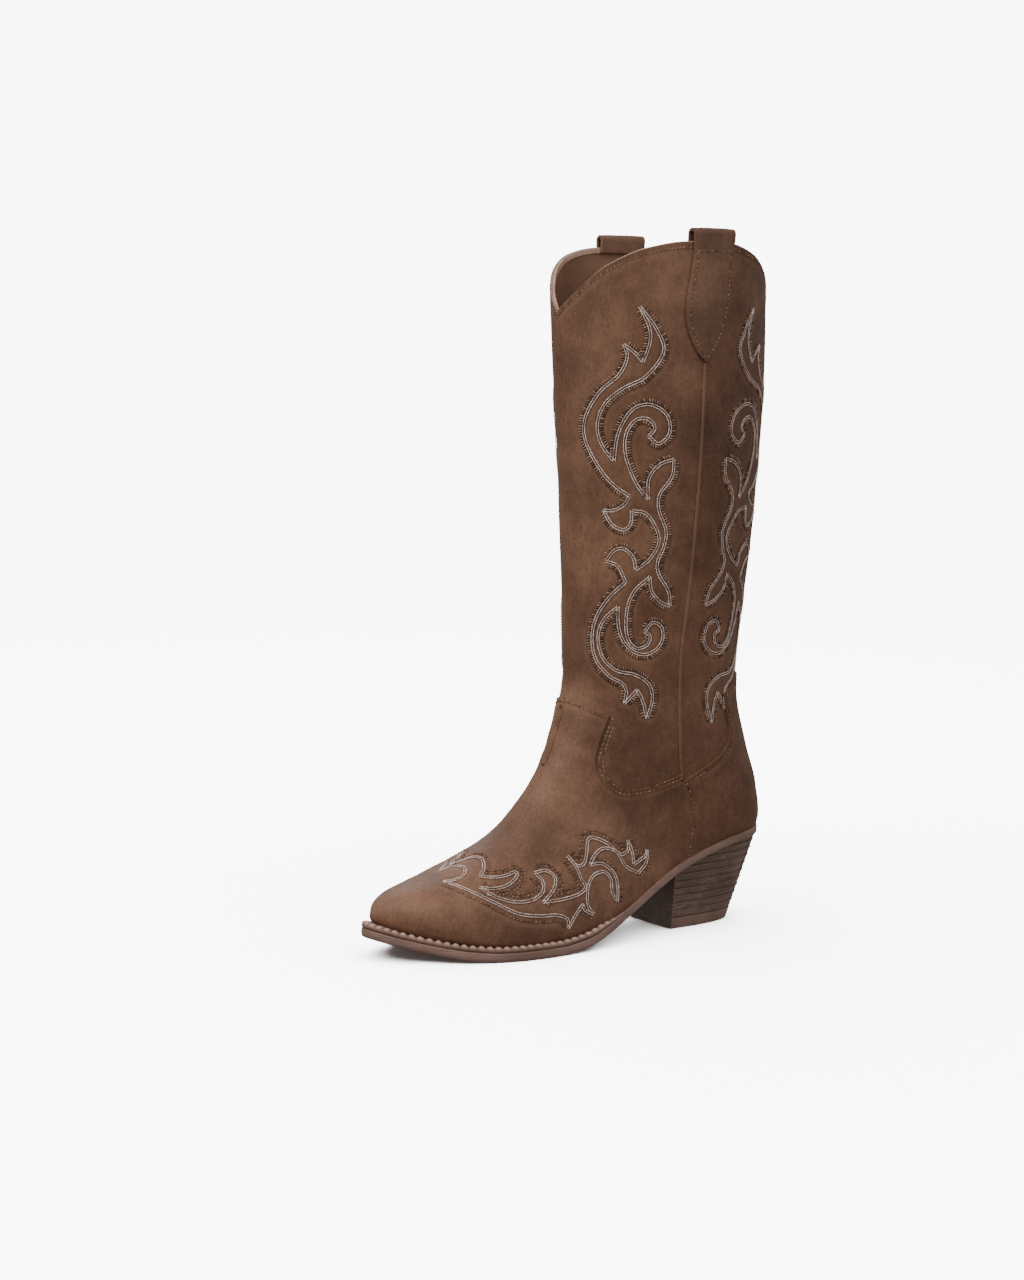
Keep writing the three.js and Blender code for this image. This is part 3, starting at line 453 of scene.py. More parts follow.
LOOKS = {
    "upper_leather": leather_finish("brown pull-up leather", tone(70, 44, 30), tone(100, 68, 49),
                                    tone(130, 94, 71)),
    "strap_leather": leather_finish("strap leather", tone(66, 43, 31), tone(95, 66, 49), tone(122, 89, 69)),
    "edge_leather": edge_finish("raw leather edge", tone(128, 92, 75), tone(216, 180, 160)),
    "lining_leather": mottled_finish("brown lining leather", tone(94, 68, 52), tone(146, 111, 88),
                                     (2400, 3, 0.7), (30, 4, 0.6), 0.3, (0.72, 0.2), (0.35, 0.0002), 0.3),
    "embroidery_thread": thread_finish("pale embroidery thread", tone(172, 146, 134), tone(236, 216, 206)),
    "brown_thread": thread_finish("brown thread", tone(56, 38, 28), tone(164, 128, 104)),
    "fibreboard": board_finish("fibreboard", tone(150, 124, 96), tone(196, 170, 138), 900),
    "cork": board_finish("cork filler", tone(104, 76, 50), tone(160, 124, 88), 500),
    "steel": metal_finish("plain steel", tone(110, 112, 116), tone(168, 170, 174)),
    "sole": sole_finish(),
    "welt": welt_finish(),
    "heel_stack": heel_finish(),
    "top_lift": rubber_finish("top lift", tone(98, 75, 64), tone(138, 109, 96)),
    "zip_tape": tape_finish(),
    "zip_coil": rubber_finish("zip coil", tone(30, 21, 17), tone(64, 47, 38)),
    "zip_metal": metal_finish("dark brass", tone(52, 40, 30), tone(118, 94, 68)),
}
RAW_EDGE = edge_finish("skived edge", tone(104, 72, 54), tone(168, 130, 108))


# ---- making pieces ----
def active(piece):
    bpy.ops.object.select_all(action="DESELECT")
    piece.select_set(True)
    bpy.context.view_layer.objects.active = piece


def edit(piece, *steps):
    """Runs operators on the whole of a piece in edit mode."""
    active(piece)
    bpy.ops.object.mode_set(mode="EDIT")
    bpy.ops.mesh.select_all(action="SELECT")
    for step in steps:
        step()
    bpy.ops.object.mode_set(mode="OBJECT")


def lay(name, points, closed=False):
    """A primitive grid laid over points given in rows. A closed one is joined along its doubles."""
    rows, columns = points.shape[:2]
    bpy.ops.mesh.primitive_grid_add(x_subdivisions=columns - 1, y_subdivisions=rows - 1, size=1)
    piece = bpy.context.object
    piece.name = name
    piece.data.vertices.foreach_set("co", (points * MM).astype(np.float32).ravel())
    piece.data.update()
    if closed:
        weld(piece)
        edit(piece, lambda: bpy.ops.mesh.normals_make_consistent(inside=False))
    return piece


def weld(piece):
    edit(piece, lambda: bpy.ops.mesh.remove_doubles(threshold=2e-6))


def face_out(piece, middle, direction):
    """Turns an open sheet over if the face nearest a point looks the wrong way."""
    faces = piece.data.polygons
    nearest = min(faces, key=lambda face: (face.center - Vector(middle) * MM).length_squared)
    if nearest.normal.dot(Vector(direction)) < 0:
        edit(piece, bpy.ops.mesh.flip_normals)


def modify(piece, kind, **settings):
    active(piece)
    modifier = piece.modifiers.new(kind.title(), kind)
    for key, value in settings.items():
        setattr(modifier, key, value)
    bpy.ops.object.modifier_apply(modifier=modifier.name)


def finish_piece(piece, slot, *nodes, body="boot", rim=None, angle=40):
    """Gives a piece its material, smooth shading and body, and hides the CAD nodes that it stands for."""
    piece.data.materials.clear()
    piece.data.materials.append(LOOKS[slot])
    if rim:
        piece.data.materials.append(rim)
    active(piece)
    bpy.ops.object.shade_smooth_by_angle(angle=math.radians(angle))
    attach(piece, body)
    if nodes:
        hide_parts(*nodes)
    return piece


def paint(piece, name, values):
    layer = piece.data.attributes.new(name, "FLOAT", "POINT")
    layer.data.foreach_set("value", np.asarray(values, np.float32))


def paint_plain(piece, rub):
    """The marks of leather that has no stitching near it: no shade along stitch grooves, and an even painted
    highlight.
    """
    for name, value in (("stitch_gap", 9.0), ("rub", rub)):
        paint(piece, name, np.full(len(piece.data.vertices), value))


def cut_leather(piece, slot, thick, soft):
    """Gives a leather sheet its thickness and soft cut edges."""
    modify(piece, "SOLIDIFY", thickness=thick * MM, offset=-1, material_offset_rim=1)
    piece.data.materials.append(LOOKS[slot])
    piece.data.materials.append(RAW_EDGE)
    modify(piece, "BEVEL", width=soft * MM, segments=3, limit_method="ANGLE", angle_limit=math.radians(50))


def corners(piece):
    """The piece's points, in millimetres."""
    flat = np.zeros(len(piece.data.vertices) * 3, np.float32)
    piece.data.vertices.foreach_get("co", flat)
    return flat.reshape(-1, 3).astype(float) / MM


# ---- seams, seen from the side ----
JOINT = (-25.8, 90.2)
VAMP_EDGE = spline([(-70.3, 131), (-76.5, 113.4), (-78.6, 103), (-75.7, 92.2), (-64.7, 83.1), (-47, 83.8),
                    JOINT])
TAB_TOP = np.linspace((-84.8, 139.8), (-70.3, 131), 12)
FOOT_SEAM = spline([JOINT, (-21.5, 80), (-18.8, 66), (-21, 53.6), (-22.5, feather(-22.5) - 1)])
COUNTER_EDGE = spline([(5.5, 139.3), (6.8, 131.9), (9.2, 122.5), (9.6, 112.7), (4.8, 106.6), (-2.8, 101.5),
                       (-14, 96), JOINT])
COUNTER_TOP = spline([(32, 150), (25, 148), (16, 144.2), (5.5, 139.3)])
OUTER_SEAM = spline([(-22, 410), (-22.2, 333), (-24.9, 255), (-27.9, 197), (-30.2, 162), (-28.5, 115),
                     JOINT])
INNER_SEAM = np.concatenate([spline([(-22, 410), (-22, 330), (-20, 260)]),
                             [zip_line(z)[1:] + (z,) for z in np.linspace(246, 60, 40)]])


def seam_angle(v, side):
    """Where the side seam runs, as an angle, at each v."""
    seam = OUTER_SEAM if side > 0 else INNER_SEAM
    seam_v, angle = locate(seam[:, 0], np.minimum(seam[:, 1], 405.9))
    order = np.argsort(seam_v)
    return side * np.interp(v, seam_v[order], angle[order])


def shifted_zip(offset, z):
    """Side-view points beside the zip's centre line."""
    return np.stack([zip_line(z)[1] + offset * ZIP_SLOPE, z], -1)


def patch(top, bottom, left, right):
    """Fills four border curves, in (v, angle), with a grid: rows run from top to bottom."""
    rows, columns = len(left), len(top)
    a, b = np.linspace(0, 1, columns)[None, :, None], np.linspace(0, 1, rows)[:, None, None]
    return ((1 - b) * top[None] + b * bottom[None] + (1 - a) * left[:, None] + a * right[:, None]
            - (1 - a) * (1 - b) * top[0] - a * (1 - b) * top[-1]
            - (1 - a) * b * bottom[0] - a * b * bottom[-1])


def on_boot(border, side):
    """Side-view points as (v, angle) pairs."""
    v, angle = locate(border[:, 0], border[:, 1])
    return np.stack([v, side * angle], -1)


# ---- embroidery ----
# One flame on each quarter of the shaft. Each run goes from corner to corner, as the share of the
# quarter's width from the side seam and the height.
SHAFT_FLAME = [
    [(0.54, 343), (0.52, 336), (0.57, 326), (0.70, 316), (0.80, 302), (0.81, 290), (0.74, 277),
     (0.63, 265), (0.50, 257)],
    [(0.50, 257), (0.54, 252), (0.61, 249), (0.68, 249)],
    [(0.68, 249), (0.62, 241), (0.54, 238), (0.49, 241), (0.48, 249)],
    [(0.48, 249), (0.38, 247), (0.30, 238), (0.28, 230), (0.34, 221), (0.44, 215)],
    [(0.44, 215), (0.46, 222), (0.53, 227), (0.60, 226), (0.66, 220)],
    [(0.66, 220), (0.57, 217), (0.51, 208)],
    [(0.51, 208), (0.62, 200), (0.72, 189), (0.76, 177), (0.73, 164), (0.62, 155), (0.51, 151),
     (0.47, 147), (0.48, 140)],
    [(0.48, 140), (0.43, 144), (0.38, 148)],
    [(0.38, 148), (0.33, 142), (0.29, 133)],
    [(0.29, 133), (0.25, 143), (0.28, 151), (0.40, 156), (0.56, 158), (0.67, 165), (0.71, 176),
     (0.67, 186), (0.56, 194)],
    [(0.56, 194), (0.55, 183), (0.50, 174), (0.40, 168), (0.28, 168), (0.19, 174), (0.20, 182),
     (0.28, 185), (0.34, 180)],
    [(0.34, 180), (0.29, 177), (0.32, 172), (0.41, 171), (0.48, 178), (0.49, 192), (0.44, 203),
     (0.33, 211)],
    [(0.33, 211), (0.31, 203), (0.24, 197), (0.15, 194)],
    [(0.15, 194), (0.18, 203), (0.26, 212), (0.28, 219), (0.24, 228), (0.23, 237), (0.29, 249),
     (0.29, 258), (0.21, 268), (0.20, 278)],
    [(0.20, 278), (0.30, 275), (0.37, 267), (0.37, 255)],
    [(0.37, 255), (0.46, 265), (0.53, 280), (0.53, 292), (0.47, 300), (0.39, 301), (0.34, 296),
     (0.38, 291)],
    [(0.38, 291), (0.31, 287), (0.24, 293), (0.26, 303), (0.37, 309), (0.49, 306), (0.58, 293),
     (0.61, 277)],
    [(0.61, 277), (0.69, 286), (0.72, 297), (0.67, 309), (0.55, 318), (0.40, 325), (0.29, 339),
     (0.34, 352), (0.44, 364)],
    [(0.44, 364), (0.38, 352), (0.38, 343), (0.42, 333)],
    [(0.42, 333), (0.47, 338), (0.54, 343)],
]
# Half of the flame on the vamp, from the ridge of the foot outward, as v and degrees.
VAMP_FLAME = [
    [(11.9, 0), (11.4, 6), (11.3, 14), (11.5, 23), (11.75, 28)],
    [(11.75, 28), (11.55, 34), (11.3, 37), (11.1, 37.5), (11.15, 41), (11.5, 44), (11.8, 42), (12.0, 37)],
    [(12.0, 37), (11.9, 48), (11.65, 57), (11.35, 60), (11.05, 58), (10.85, 52), (10.8, 45)],
    [(10.8, 45), (10.6, 48), (10.6, 54), (10.8, 59), (11.2, 64)],
    [(11.2, 64), (10.9, 67.5), (10.6, 70), (10.4, 69), (10.3, 64), (10.1, 56), (10.0, 50)],
    [(10.0, 50), (10.1, 57), (10.0, 59), (9.8, 57), (9.5, 53), (9.38, 54), (9.4, 61), (9.52, 69),
     (9.4, 71), (9.2, 68)],
    [(9.2, 68), (9.4, 73), (9.6, 77.5)],
    [(9.6, 77.5), (9.4, 79), (9.28, 78)],
    [(9.28, 78), (9.5, 81.5), (9.7, 82)],
    [(9.7, 82), (9.68, 75), (9.5, 67), (9.52, 61.5), (9.7, 60), (9.95, 61.5)],
    [(9.95, 61.5), (9.82, 66), (9.9, 74), (10.15, 82), (10.3, 86)],
    [(10.3, 86), (10.2, 80), (10.0, 74), (9.95, 69), (10.12, 67), (10.4, 70.5), (10.65, 78), (10.72, 85)],
    [(10.72, 85), (10.76, 80), (10.7, 76)],
    [(10.7, 76), (10.95, 80), (11.2, 86)],
    [(11.2, 86), (11.1, 80), (11.2, 75), (11.45, 72), (11.75, 66), (12.0, 53), (12.3, 36), (12.6, 17)],
    [(12.6, 17), (12.3, 21), (12.0, 19.5), (11.8, 13), (11.9, 5), (12.25, 0)],
]
ROW_GAP = 0.68
# Each kind of stitch: its slot, and its pitch, length, thickness, slant and bow.
STITCHES = {
    "thread": ("embroidery_thread", 1.9, 2.5, 0.42, 0.16, 0.35),
    "picks": ("brown_thread", 1.55, 2.3, 0.78, 0.25, 0.55),
    "dots": ("brown_thread", 2.3, 1.35, 0.75, 0.5, 0.25),
    "seam": ("brown_thread", 2.6, 1.9, 0.55, 0.0, 0.4),
    "topline": ("brown_thread", 2.3, 1.6, 0.55, 0.5, 0.5),
    "strap": ("brown_thread", 2.5, 1.75, 0.55, 0.0, 0.35),
}
# How far outside the vamp's flame its rows of dots run, for each run.
DOT_ROWS = {0: (3.2,), 1: (3.0, 4.6), 2: (3.0, 4.6), 3: (3.0, 4.4), 4: (3.0, 4.6), 5: (2.8, 4.4),
            6: (2.6,), 7: (2.6,), 8: (2.6,), 10: (2.6,), 12: (2.6,), 14: (3.4,)}


class Quarter:
    """One quarter of the shaft, between a side seam and the front or back line."""

    def __init__(self, side, end):
        self.v = np.linspace(0, 8, 161)
        start = seam_angle(self.v, side)
        share = np.linspace(0, 1, 61)
        angle = start[:, None] + (side * end - start)[:, None] * share
        p = skin(self.v[:, None], angle)
        run = np.concatenate([np.zeros((len(self.v), 1)),
                              np.cumsum(np.linalg.norm(np.diff(p, axis=1), axis=2), axis=1)], 1)
        self.angle = np.stack([np.interp(share * r[-1], r, a) for r, a in zip(run, angle)])
        self.share = share
        self.height = section_at(self.v)[:, 1]

    def place(self, points):
        """(v, angle) of points given as share of the width and height."""
        v = np.interp(-points[:, 1], -self.height, self.v)
        row = np.interp(v, self.v, np.arange(len(self.v)))
        low = np.minimum(row.astype(int), len(self.v) - 2)
        f = row - low
        at = lambda i: np.array([np.interp(s, self.share, self.angle[k]) for s, k in zip(points[:, 0], i)])
        return np.stack([v, at(low) * (1 - f) + at(low + 1) * f], -1)


def frames_along(v_angle, proud):
    """Points on the leather with their directions along, across and out."""
    p = skin(v_angle[:, 0], v_angle[:, 1])
    out = outward(v_angle[:, 0], v_angle[:, 1])
    along = np.gradient(p, axis=0)
    along /= np.linalg.norm(along, axis=1, keepdims=True) + 1e-9
    return p + out * proud, along, np.cross(out, along), out


def row_of(kind, v_angle, proud, offset):
    """Stitch places along a route, moved to one side of it: centre, along and out."""
    p, along, across, out = frames_along(v_angle, proud)
    moved = np.concatenate([p + across * offset, along, out], 1)
    run = run_of(moved[:, :3])
    return resample(middles(run[-1], max(1, int(round(run[-1] / STITCHES[kind][1])))), run, moved)


def stitch_model():
    """One stitch: a plump strand, 1 long and 1 thick; sew bows it up in the middle."""
    bpy.ops.mesh.primitive_uv_sphere_add(segments=6, ring_count=6, radius=0.5)
    model = bpy.context.object
    edit(model, lambda: bpy.ops.transform.rotate(value=math.pi / 2, orient_axis="Y",
                                                 center_override=(0, 0, 0)))
    p = corners(model) * MM
    faces = [list(face.vertices) for face in model.data.polygons]
    bpy.data.objects.remove(model)
    p[:, 1:] *= (1 - (2 * np.abs(p[:, :1])) ** 4) ** 0.5 / np.maximum(
        (1 - (2 * np.abs(p[:, :1])) ** 2), 1e-6) ** 0.5
    p[np.abs(p[:, 0]) > 0.499, 1:] = 0
    return p, faces


STITCH, STITCH_FACES = stitch_model()


def sew(name, kind, rows):
    """Copies the stitch along rows of places, as one piece."""
    slot, _, length, thick, slant, bow = STITCHES[kind]
    places = np.concatenate(rows)
    count = len(places)
    centre, out = places[:, :3], unit(places[:, 6:9])
    across = unit(np.cross(out, places[:, 3:6]))
    along = np.cross(across, out)
    turn = slant + dice.normal(0, 0.05, count)
    heading = along * np.cos(turn)[:, None] + across * np.sin(turn)[:, None]
    beside = np.cross(out, heading)
    size = length * (1 + dice.normal(0, 0.06, count))
    x, y, z = STITCH[:, 0], STITCH[:, 1], STITCH[:, 2]
    lift = z * thick + bow * thick * (1 - (2 * x) ** 2)
    p = (centre[:, None] + heading[:, None] * x[None, :, None] * size[:, None, None]
         + beside[:, None] * (y * thick)[None, :, None] + out[:, None] * lift[None, :, None])
    n = len(STITCH)
    faces = [[i + k * n for i in face] for k in range(count) for face in STITCH_FACES]
    mesh = bpy.data.meshes.new(name)
    mesh.from_pydata((p.reshape(-1, 3) * MM).tolist(), [], faces)
    piece = bpy.data.objects.new(name, mesh)
    bpy.context.collection.objects.link(piece)
    paint(piece, "shade", np.repeat(dice.random(count), n))
    return finish_piece(piece, slot, angle=60)


holes = []


def sew_in(name, kind, rows):
    """Sews, and keeps where the needle went in, so that the leather is drawn down there."""
    holes.extend(rows)
    sew(name, kind, rows)


def flame(name, runs, side, proud, dots=None):
    """Both pale rows of a flame and the brown stitches outside it."""
    pale, picks, spots = [], [], []
    for number, run in enumerate(runs):
        pale += [row_of("thread", run, proud + 0.12, offset) for offset in (ROW_GAP, -ROW_GAP)]
        fringe = row_of("picks", run, proud + 0.05, -side * 2.3)
        ends = (np.linalg.norm(fringe[:, :3] - fringe[0, :3], axis=1) > 1.5) \
            & (np.linalg.norm(fringe[:, :3] - fringe[-1, :3], axis=1) > 1.5)
        fringe = fringe[ends]
        if dots is None and len(fringe):
            turned = fringe.copy()
            turned[:, 3:6] = np.cross(fringe[:, 6:9], fringe[:, 3:6])
            picks.append(turned)
        for offset in (dots or {}).get(number, ()):
            spots.append(row_of("dots", run, proud + 0.02, -side * offset))
    for kind, rows in (("thread", pale), ("picks", picks), ("dots", spots)):
        if rows:
            sew_in(name + "_" + kind, kind, rows)


def seam_stitches(name, route, proud, offset=0.0):
    sew_in(name, "seam", [row_of("seam", route, proud, offset)])


def embroider():
    quarters = {"front_outer": (1, 0), "back_outer": (1, math.pi), "front_inner": (-1, 0),
                "back_inner": (-1, math.pi)}
    for name, (side, end) in quarters.items():
        quarter = Quarter(side, end)
        runs = [evenly_on_boot(quarter.place(spline(run, 0.1))) for run in SHAFT_FLAME]
        turn = 1 if (side > 0) == (end == 0) else -1
        flame("flame_" + name, runs, turn, 0.0)
    for name, side in (("outer", 1), ("inner", -1)):
        runs = [evenly_on_boot(spline(run, 0.1) * (1, side * math.pi / 180)) for run in VAMP_FLAME]
        flame("vamp_flame_" + name, runs, -side, LAP, DOT_ROWS)


def evenly_on_boot(v_angle, step=0.8):
    """The same route with samples at even distances over the leather."""
    run = run_of(skin(v_angle[:, 0], v_angle[:, 1]))
    return resample(np.linspace(0, run[-1], max(3, int(run[-1] / step))), run, v_angle)


# ---- the upper ----
def tooled(grid, proud):
    """Points of a panel, with the leather drawn down along the stitching and swollen between, and the
    two marks that its finish reads: how far off the nearest stitch is, and how much painted highlight it
    gets."""
    base = skin(grid[..., 0], grid[..., 1])
    out = outward(grid[..., 0], grid[..., 1])
    gap = nearest_hole((base + out * proud).reshape(-1, 3)).reshape(base.shape[:2])
    quilt = -0.3 * np.exp(-(gap / 0.8) ** 2) + 0.2 * smooth(1.0, 3.0, gap) * (1 - smooth(3.0, 8, gap))
    y, z = base[..., 1], base[..., 2]
    cloud = 0.12 * np.sin(z / 23 + y / 31) + 0.09 * np.sin(z / 11 - y / 17)
    creases = ankle_creases(base)
    p = base + out * (proud + quilt + cloud + creases)[..., None]
    # painted highlight: a band over the swollen leather between stitch rows, and the crests of the ankle
    # creases
    rub = 0.35 * smooth(1.0, 2.0, gap) * (1 - smooth(2.0, 4.5, gap)) + 0.5 * np.clip(creases * 2, 0, 1)
    return p, gap, rub


def domed(p, gap, rub):
    """Adds rows that close the last ring of the toe with a low dome."""
    ring = p[-1]
    middle = ring.mean(0)
    rows = [middle + (ring - middle) * share + np.array([0, -ahead, 0])
            for share, ahead in ((0.8, 1.0), (0.55, 1.7), (0.28, 2.05), (0.0, 2.15))]
    more = len(rows)
    return (np.concatenate([p, np.stack(rows)]), np.concatenate([gap, np.repeat(gap[-1:], more, 0)]),
            np.concatenate([rub, np.repeat(rub[-1:], more, 0)]))


def ankle_creases(p):
    """Soft folds where the boot bends, at the front of the ankle."""
    front = smooth(-48, -80, p[..., 1]) * smooth(86, 98, p[..., 2]) * (1 - smooth(118, 140, p[..., 2]))
    wave = np.sin((p[..., 2] + 0.5 * p[..., 1] + 4 * np.sin(p[..., 0] / 9)) / 2.6)
    wide = smooth(140, 158, p[..., 2]) * (1 - smooth(176, 205, p[..., 2]))
    slow = np.sin((p[..., 2] - 0.25 * np.abs(p[..., 1])) / 7.5 + np.sin(p[..., 0] / 14))
    return 0.14 * front * wave + 0.3 * wide * slow


def nearest_hole(points):
    return np.array([hole_tree.find(p)[2] for p in points])


def leather_sheet(name, grid, proud, node, thick=LEATHER, tip=False):
    """A cut panel laid over the last, with its thickness and soft cut edges."""
    p, gap, rub = tooled(grid, proud)
    row, column = grid.shape[0] // 2, grid.shape[1] // 2
    facing = outward(*grid[row, column])
    if tip:
        p, gap, rub = domed(p, gap, rub)
    piece = lay(name, p)
    paint(piece, "stitch_gap", gap.ravel())
    paint(piece, "rub", rub.ravel())
    weld(piece)
    face_out(piece, p[row, column], facing)
    cut_leather(piece, "upper_leather", thick, 0.45)
    finish_piece(piece, "upper_leather", node, rim=RAW_EDGE)


def feather_curve(v, side):
    return np.stack([v, side * angle_at_feather(v, side)], -1)


def zip_foot(lip):
    """A lip of the zip's slot, carried on under the zip to the sole."""
    low = feather(-36.5) - 1
    return np.concatenate([lip, shifted_zip(0, np.linspace(54.5, low, 8))])


# How many rows of a half panel end on each stretch of its border, and the v on the panel's middle line
# where the rows to the next stretch start. A stretch of edge ends at the height of the foot.
VAMP_ROWS, VAMP_STARTS, TAB_FOOT = (36, 44, 26, 110), (8.6, 11.0, 12.0), 92.7
COUNTER_ROWS, COUNTER_STARTS, TONGUE_FOOT = (24, 40, 40), (5.95, 6.9), 111.0


def stretches(edge, corner_height, foot, counts, side):
    """A border in stretches, each with its own number of rows: the edge, cut at its corner, and the foot."""
    corner = int(np.argmax(edge[:, 1] < corner_height))
    return [on_boot(evenly(line, count + 1), side)
            for line, count in zip((edge[:corner + 1], edge[corner:], foot), counts)]


def half_panel(top, borders, starts, middle, bottom):
    """One half of a panel as a grid. Each row runs from the panel's middle line to its border."""
    ends = [top[0, 0], *starts, bottom[0, 0]]
    lines = [np.linspace(low, high, len(border)) for low, high, border in zip(ends, ends[1:], borders)]
    lines, edge = (np.concatenate([part[:-1] for part in parts[:-1]] + parts[-1:])
                   for parts in (lines, borders))
    edge[0], edge[-1] = top[-1], bottom[-1]
    return patch(top, bottom, np.stack([lines, np.full(len(lines), middle)], -1), edge)


def half_vamp(side):
    """One half of the vamp, from the ridge of the foot outward."""
    if side > 0:
        edge, foot = VAMP_EDGE, FOOT_SEAM
    else:
        lip = shifted_zip(-ZIP_HALF_SLOT, np.linspace(86.4, 56, 16))
        edge = np.concatenate([VAMP_EDGE[VAMP_EDGE[:, 0] < lip[0, 0] - 1], lip[:1]])
        foot = zip_foot(lip)
    top = on_boot(evenly(TAB_TOP, 56), side)
    top[0, 1] = 0
    welted = feather_curve(np.linspace(on_boot(foot[-1:], side)[0, 0], LAST, VAMP_ROWS[-1] + 1), side)
    bottom = np.stack([np.full(len(top), LAST), side * np.linspace(0, math.pi, len(top))], -1)
    borders = stretches(edge, TAB_FOOT, foot, VAMP_ROWS, side) + [welted]
    return half_panel(top, borders, VAMP_STARTS, 0.0, bottom)


def vamp():
    halves = [half_vamp(-1)[:, ::-1], half_vamp(1)[:, 1:]]
    grid = np.concatenate(halves, 1)
    leather_sheet("vamp_leather", grid, LAP, "vamp", thick=LAP + 0.5, tip=True)


def half_counter(side):
    """One half of the heel counter, from the back line forward."""
    if side > 0:
        edge, foot = COUNTER_EDGE, FOOT_SEAM
    else:
        lip = shifted_zip(ZIP_HALF_SLOT, np.linspace(89.2, 56, 18))
        edge = np.concatenate([COUNTER_EDGE[COUNTER_EDGE[:, 0] > lip[0, 0] + 1], lip[:1]])
        foot = zip_foot(lip)
    top = on_boot(evenly(COUNTER_TOP, 60), side)
    top[0] = (v_at(150, math.pi), side * math.pi)
    bottom = feather_curve(np.linspace(v_back(side), on_boot(foot[-1:], side)[0, 0], len(top)), side)
    bottom[0, 1] = side * math.pi
    borders = stretches(edge, TONGUE_FOOT, foot, COUNTER_ROWS, side)
    return half_panel(top, borders, COUNTER_STARTS, side * math.pi, bottom)


def v_back(side):
    """v where the back line meets the sole."""
    v = np.linspace(6, 9, 400)
    p = skin(v, np.full(400, math.pi - 1e-4))
    return v[np.argmin(np.abs(p[:, 2] - feather(p[:, 1]) + 1.0))]


def counter():
    inner = half_counter(-1)
    inner[..., 1] += 2 * math.pi
    grid = np.concatenate([half_counter(1)[:, ::-1], inner[:, 1:]], 1)
    leather_sheet("counter_leather", grid, LAP, "heel_counter", thick=LAP + 0.5)


# Where a shaft panel ends under the vamp or the counter, as v, at the side seams and in the middle.
SHAFT_FOOT = {"front": (7.95, 8.6), "back": (7.59, 7.2)}


def shaft_panel(name, node, end):
    """A quarter pair of the shaft from one side seam to the other, over the front or the back."""
    rows, columns, below = 210, 85, 0.6
    foot, low_middle = SHAFT_FOOT["back" if end else "front"]
    half = []
    for side in (1, -1):
        high = rim(seam_angle(0.5, side), below)
        v = high + (foot - high) * np.linspace(0, 1, rows)
        p = skin(v, seam_angle(v, side))
        away = np.full(rows, 0.6)
        if side < 0:
            opened = smooth(253, 250, p[:, 2])
            away = ZIP_HALF_SLOT * opened + 0.15 * (1 - opened)
        beside = side * locate(p[:, 1] + (away if end else -away), np.minimum(p[:, 2], 405.8))[1]
        left = np.stack([v, beside], -1)
        angle = np.linspace(beside[0], side * end, columns)
        top = np.stack([rim(angle, below), angle], -1)
        left[0] = top[0]
        right = np.stack([np.linspace(top[-1, 0], low_middle, rows), np.full(rows, side * end)], -1)
        bottom = np.linspace(left[-1], (low_middle, side * end), columns)
        half.append(patch(top, bottom, left, right))
    if end:
        half[1][..., 1] += 2 * math.pi
    leather_sheet(name, np.concatenate([half[0], half[1][:, ::-1][:, 1:]], 1), 0.0, node)


def inner_cover(name, node, end):
    """The lining behind a shaft panel, seen inside the mouth."""
    rows, columns, depth = 90, 90, LEATHER + 0.5
    sides = [seam_angle(1.0, 1), seam_angle(1.0, -1) + (2 * math.pi if end else 0)]
    if not end:
        sides = sides[::-1]
    angle = np.linspace(sides[0], sides[1], columns)
    high, foot = rim(angle, 2.0), v_at(122, angle)
    v = high + (foot - high) * np.linspace(0, 1, rows)[:, None]
    out = outward(v, angle)
    p = skin(v, angle) - out * depth
    p += 0.25 * np.sin(p[..., 2:] / 13 + p[..., 1:2] / 19) * out
    piece = lay(name, p)
    face_out(piece, p[rows // 2, columns // 2], -out[rows // 2, columns // 2])
    modify(piece, "SOLIDIFY", thickness=0.7 * MM, offset=-1)
    return finish_piece(piece, "lining_leather", node)


def tube(name, centre, out, along, radii, sides=10):
    """A cord with an oval section and closed ends, along a line with given out directions."""
    across = np.cross(out, along)
    turn = np.linspace(0, 2 * math.pi, sides + 1)
    size = np.ones(len(centre))
    size[0] = size[-1] = 0.02
    ring = [centre + size[:, None] * (radii[0] * np.cos(a) * across + radii[1] * np.sin(a) * out)
            for a in turn]
    return lay(name, np.stack(ring, 1), closed=True)


def piping():
    """The cord in the outer side seam, from under the strap to the joint."""
    line = OUTER_SEAM[OUTER_SEAM[:, 1] < 338]
    route = evenly_on_boot(on_boot(line, 1), 1.2)
    p, along, across, out = frames_along(route, 0.1)
    piece = tube("side_piping", p, out, along, (1.15, 0.95))
    # an even painted highlight over the raised cord
    paint_plain(piece, 0.6)
    finish_piece(piece, "upper_leather", "side_welt")


def topline(below):
    """(v, angle) all round, a distance below the top edge."""
    angle = np.linspace(0, 2 * math.pi, 361)
    return np.stack([rim(angle, below), angle], -1)


def binding():
    """The top edge: the cut edges of leather and lining as two pale beads with a groove between."""
    p, _, _, out = frames_along(topline(0.9), 0)
    up = np.array([0.0, 0.0, 1.0])
    section = [(-0.4, -2.6), (-0.35, -0.4), (-0.4, 0.2), (-0.65, 0.68), (-0.95, 0.7), (-1.25, 0.3),
               (-1.5, 0.3), (-1.75, 0.4), (-2.05, 0.78), (-2.45, 0.82), (-2.85, 0.35), (-2.95, -0.3),
               (-2.9, -2.6), (-1.5, -2.8), (-0.4, -2.6)]
    grid = np.stack([p + out * a + up * b for a, b in section], 1)
    grid[-1] = grid[0]
    piece = lay("topline_edge", grid, closed=True)
    finish_piece(piece, "edge_leather", "topline_binding")
    sew_in("topline_stitches", "topline", [row_of("topline", topline(3.7), 0.0, 0.0)])


# ---- pull straps ----
STRAP = {"y": -17.0, "half": 15.0, "tip": 333.0, "thick": 1.7, "lift": 3.6, "tucked": 3.5, "inset": 2.3}
WALL = LEATHER + 0.3 + LINING


def side_x(y, z, side):
    v, angle = locate(y, np.minimum(z, 405.5))
    return np.abs(skin(v, side * angle)[..., 0])


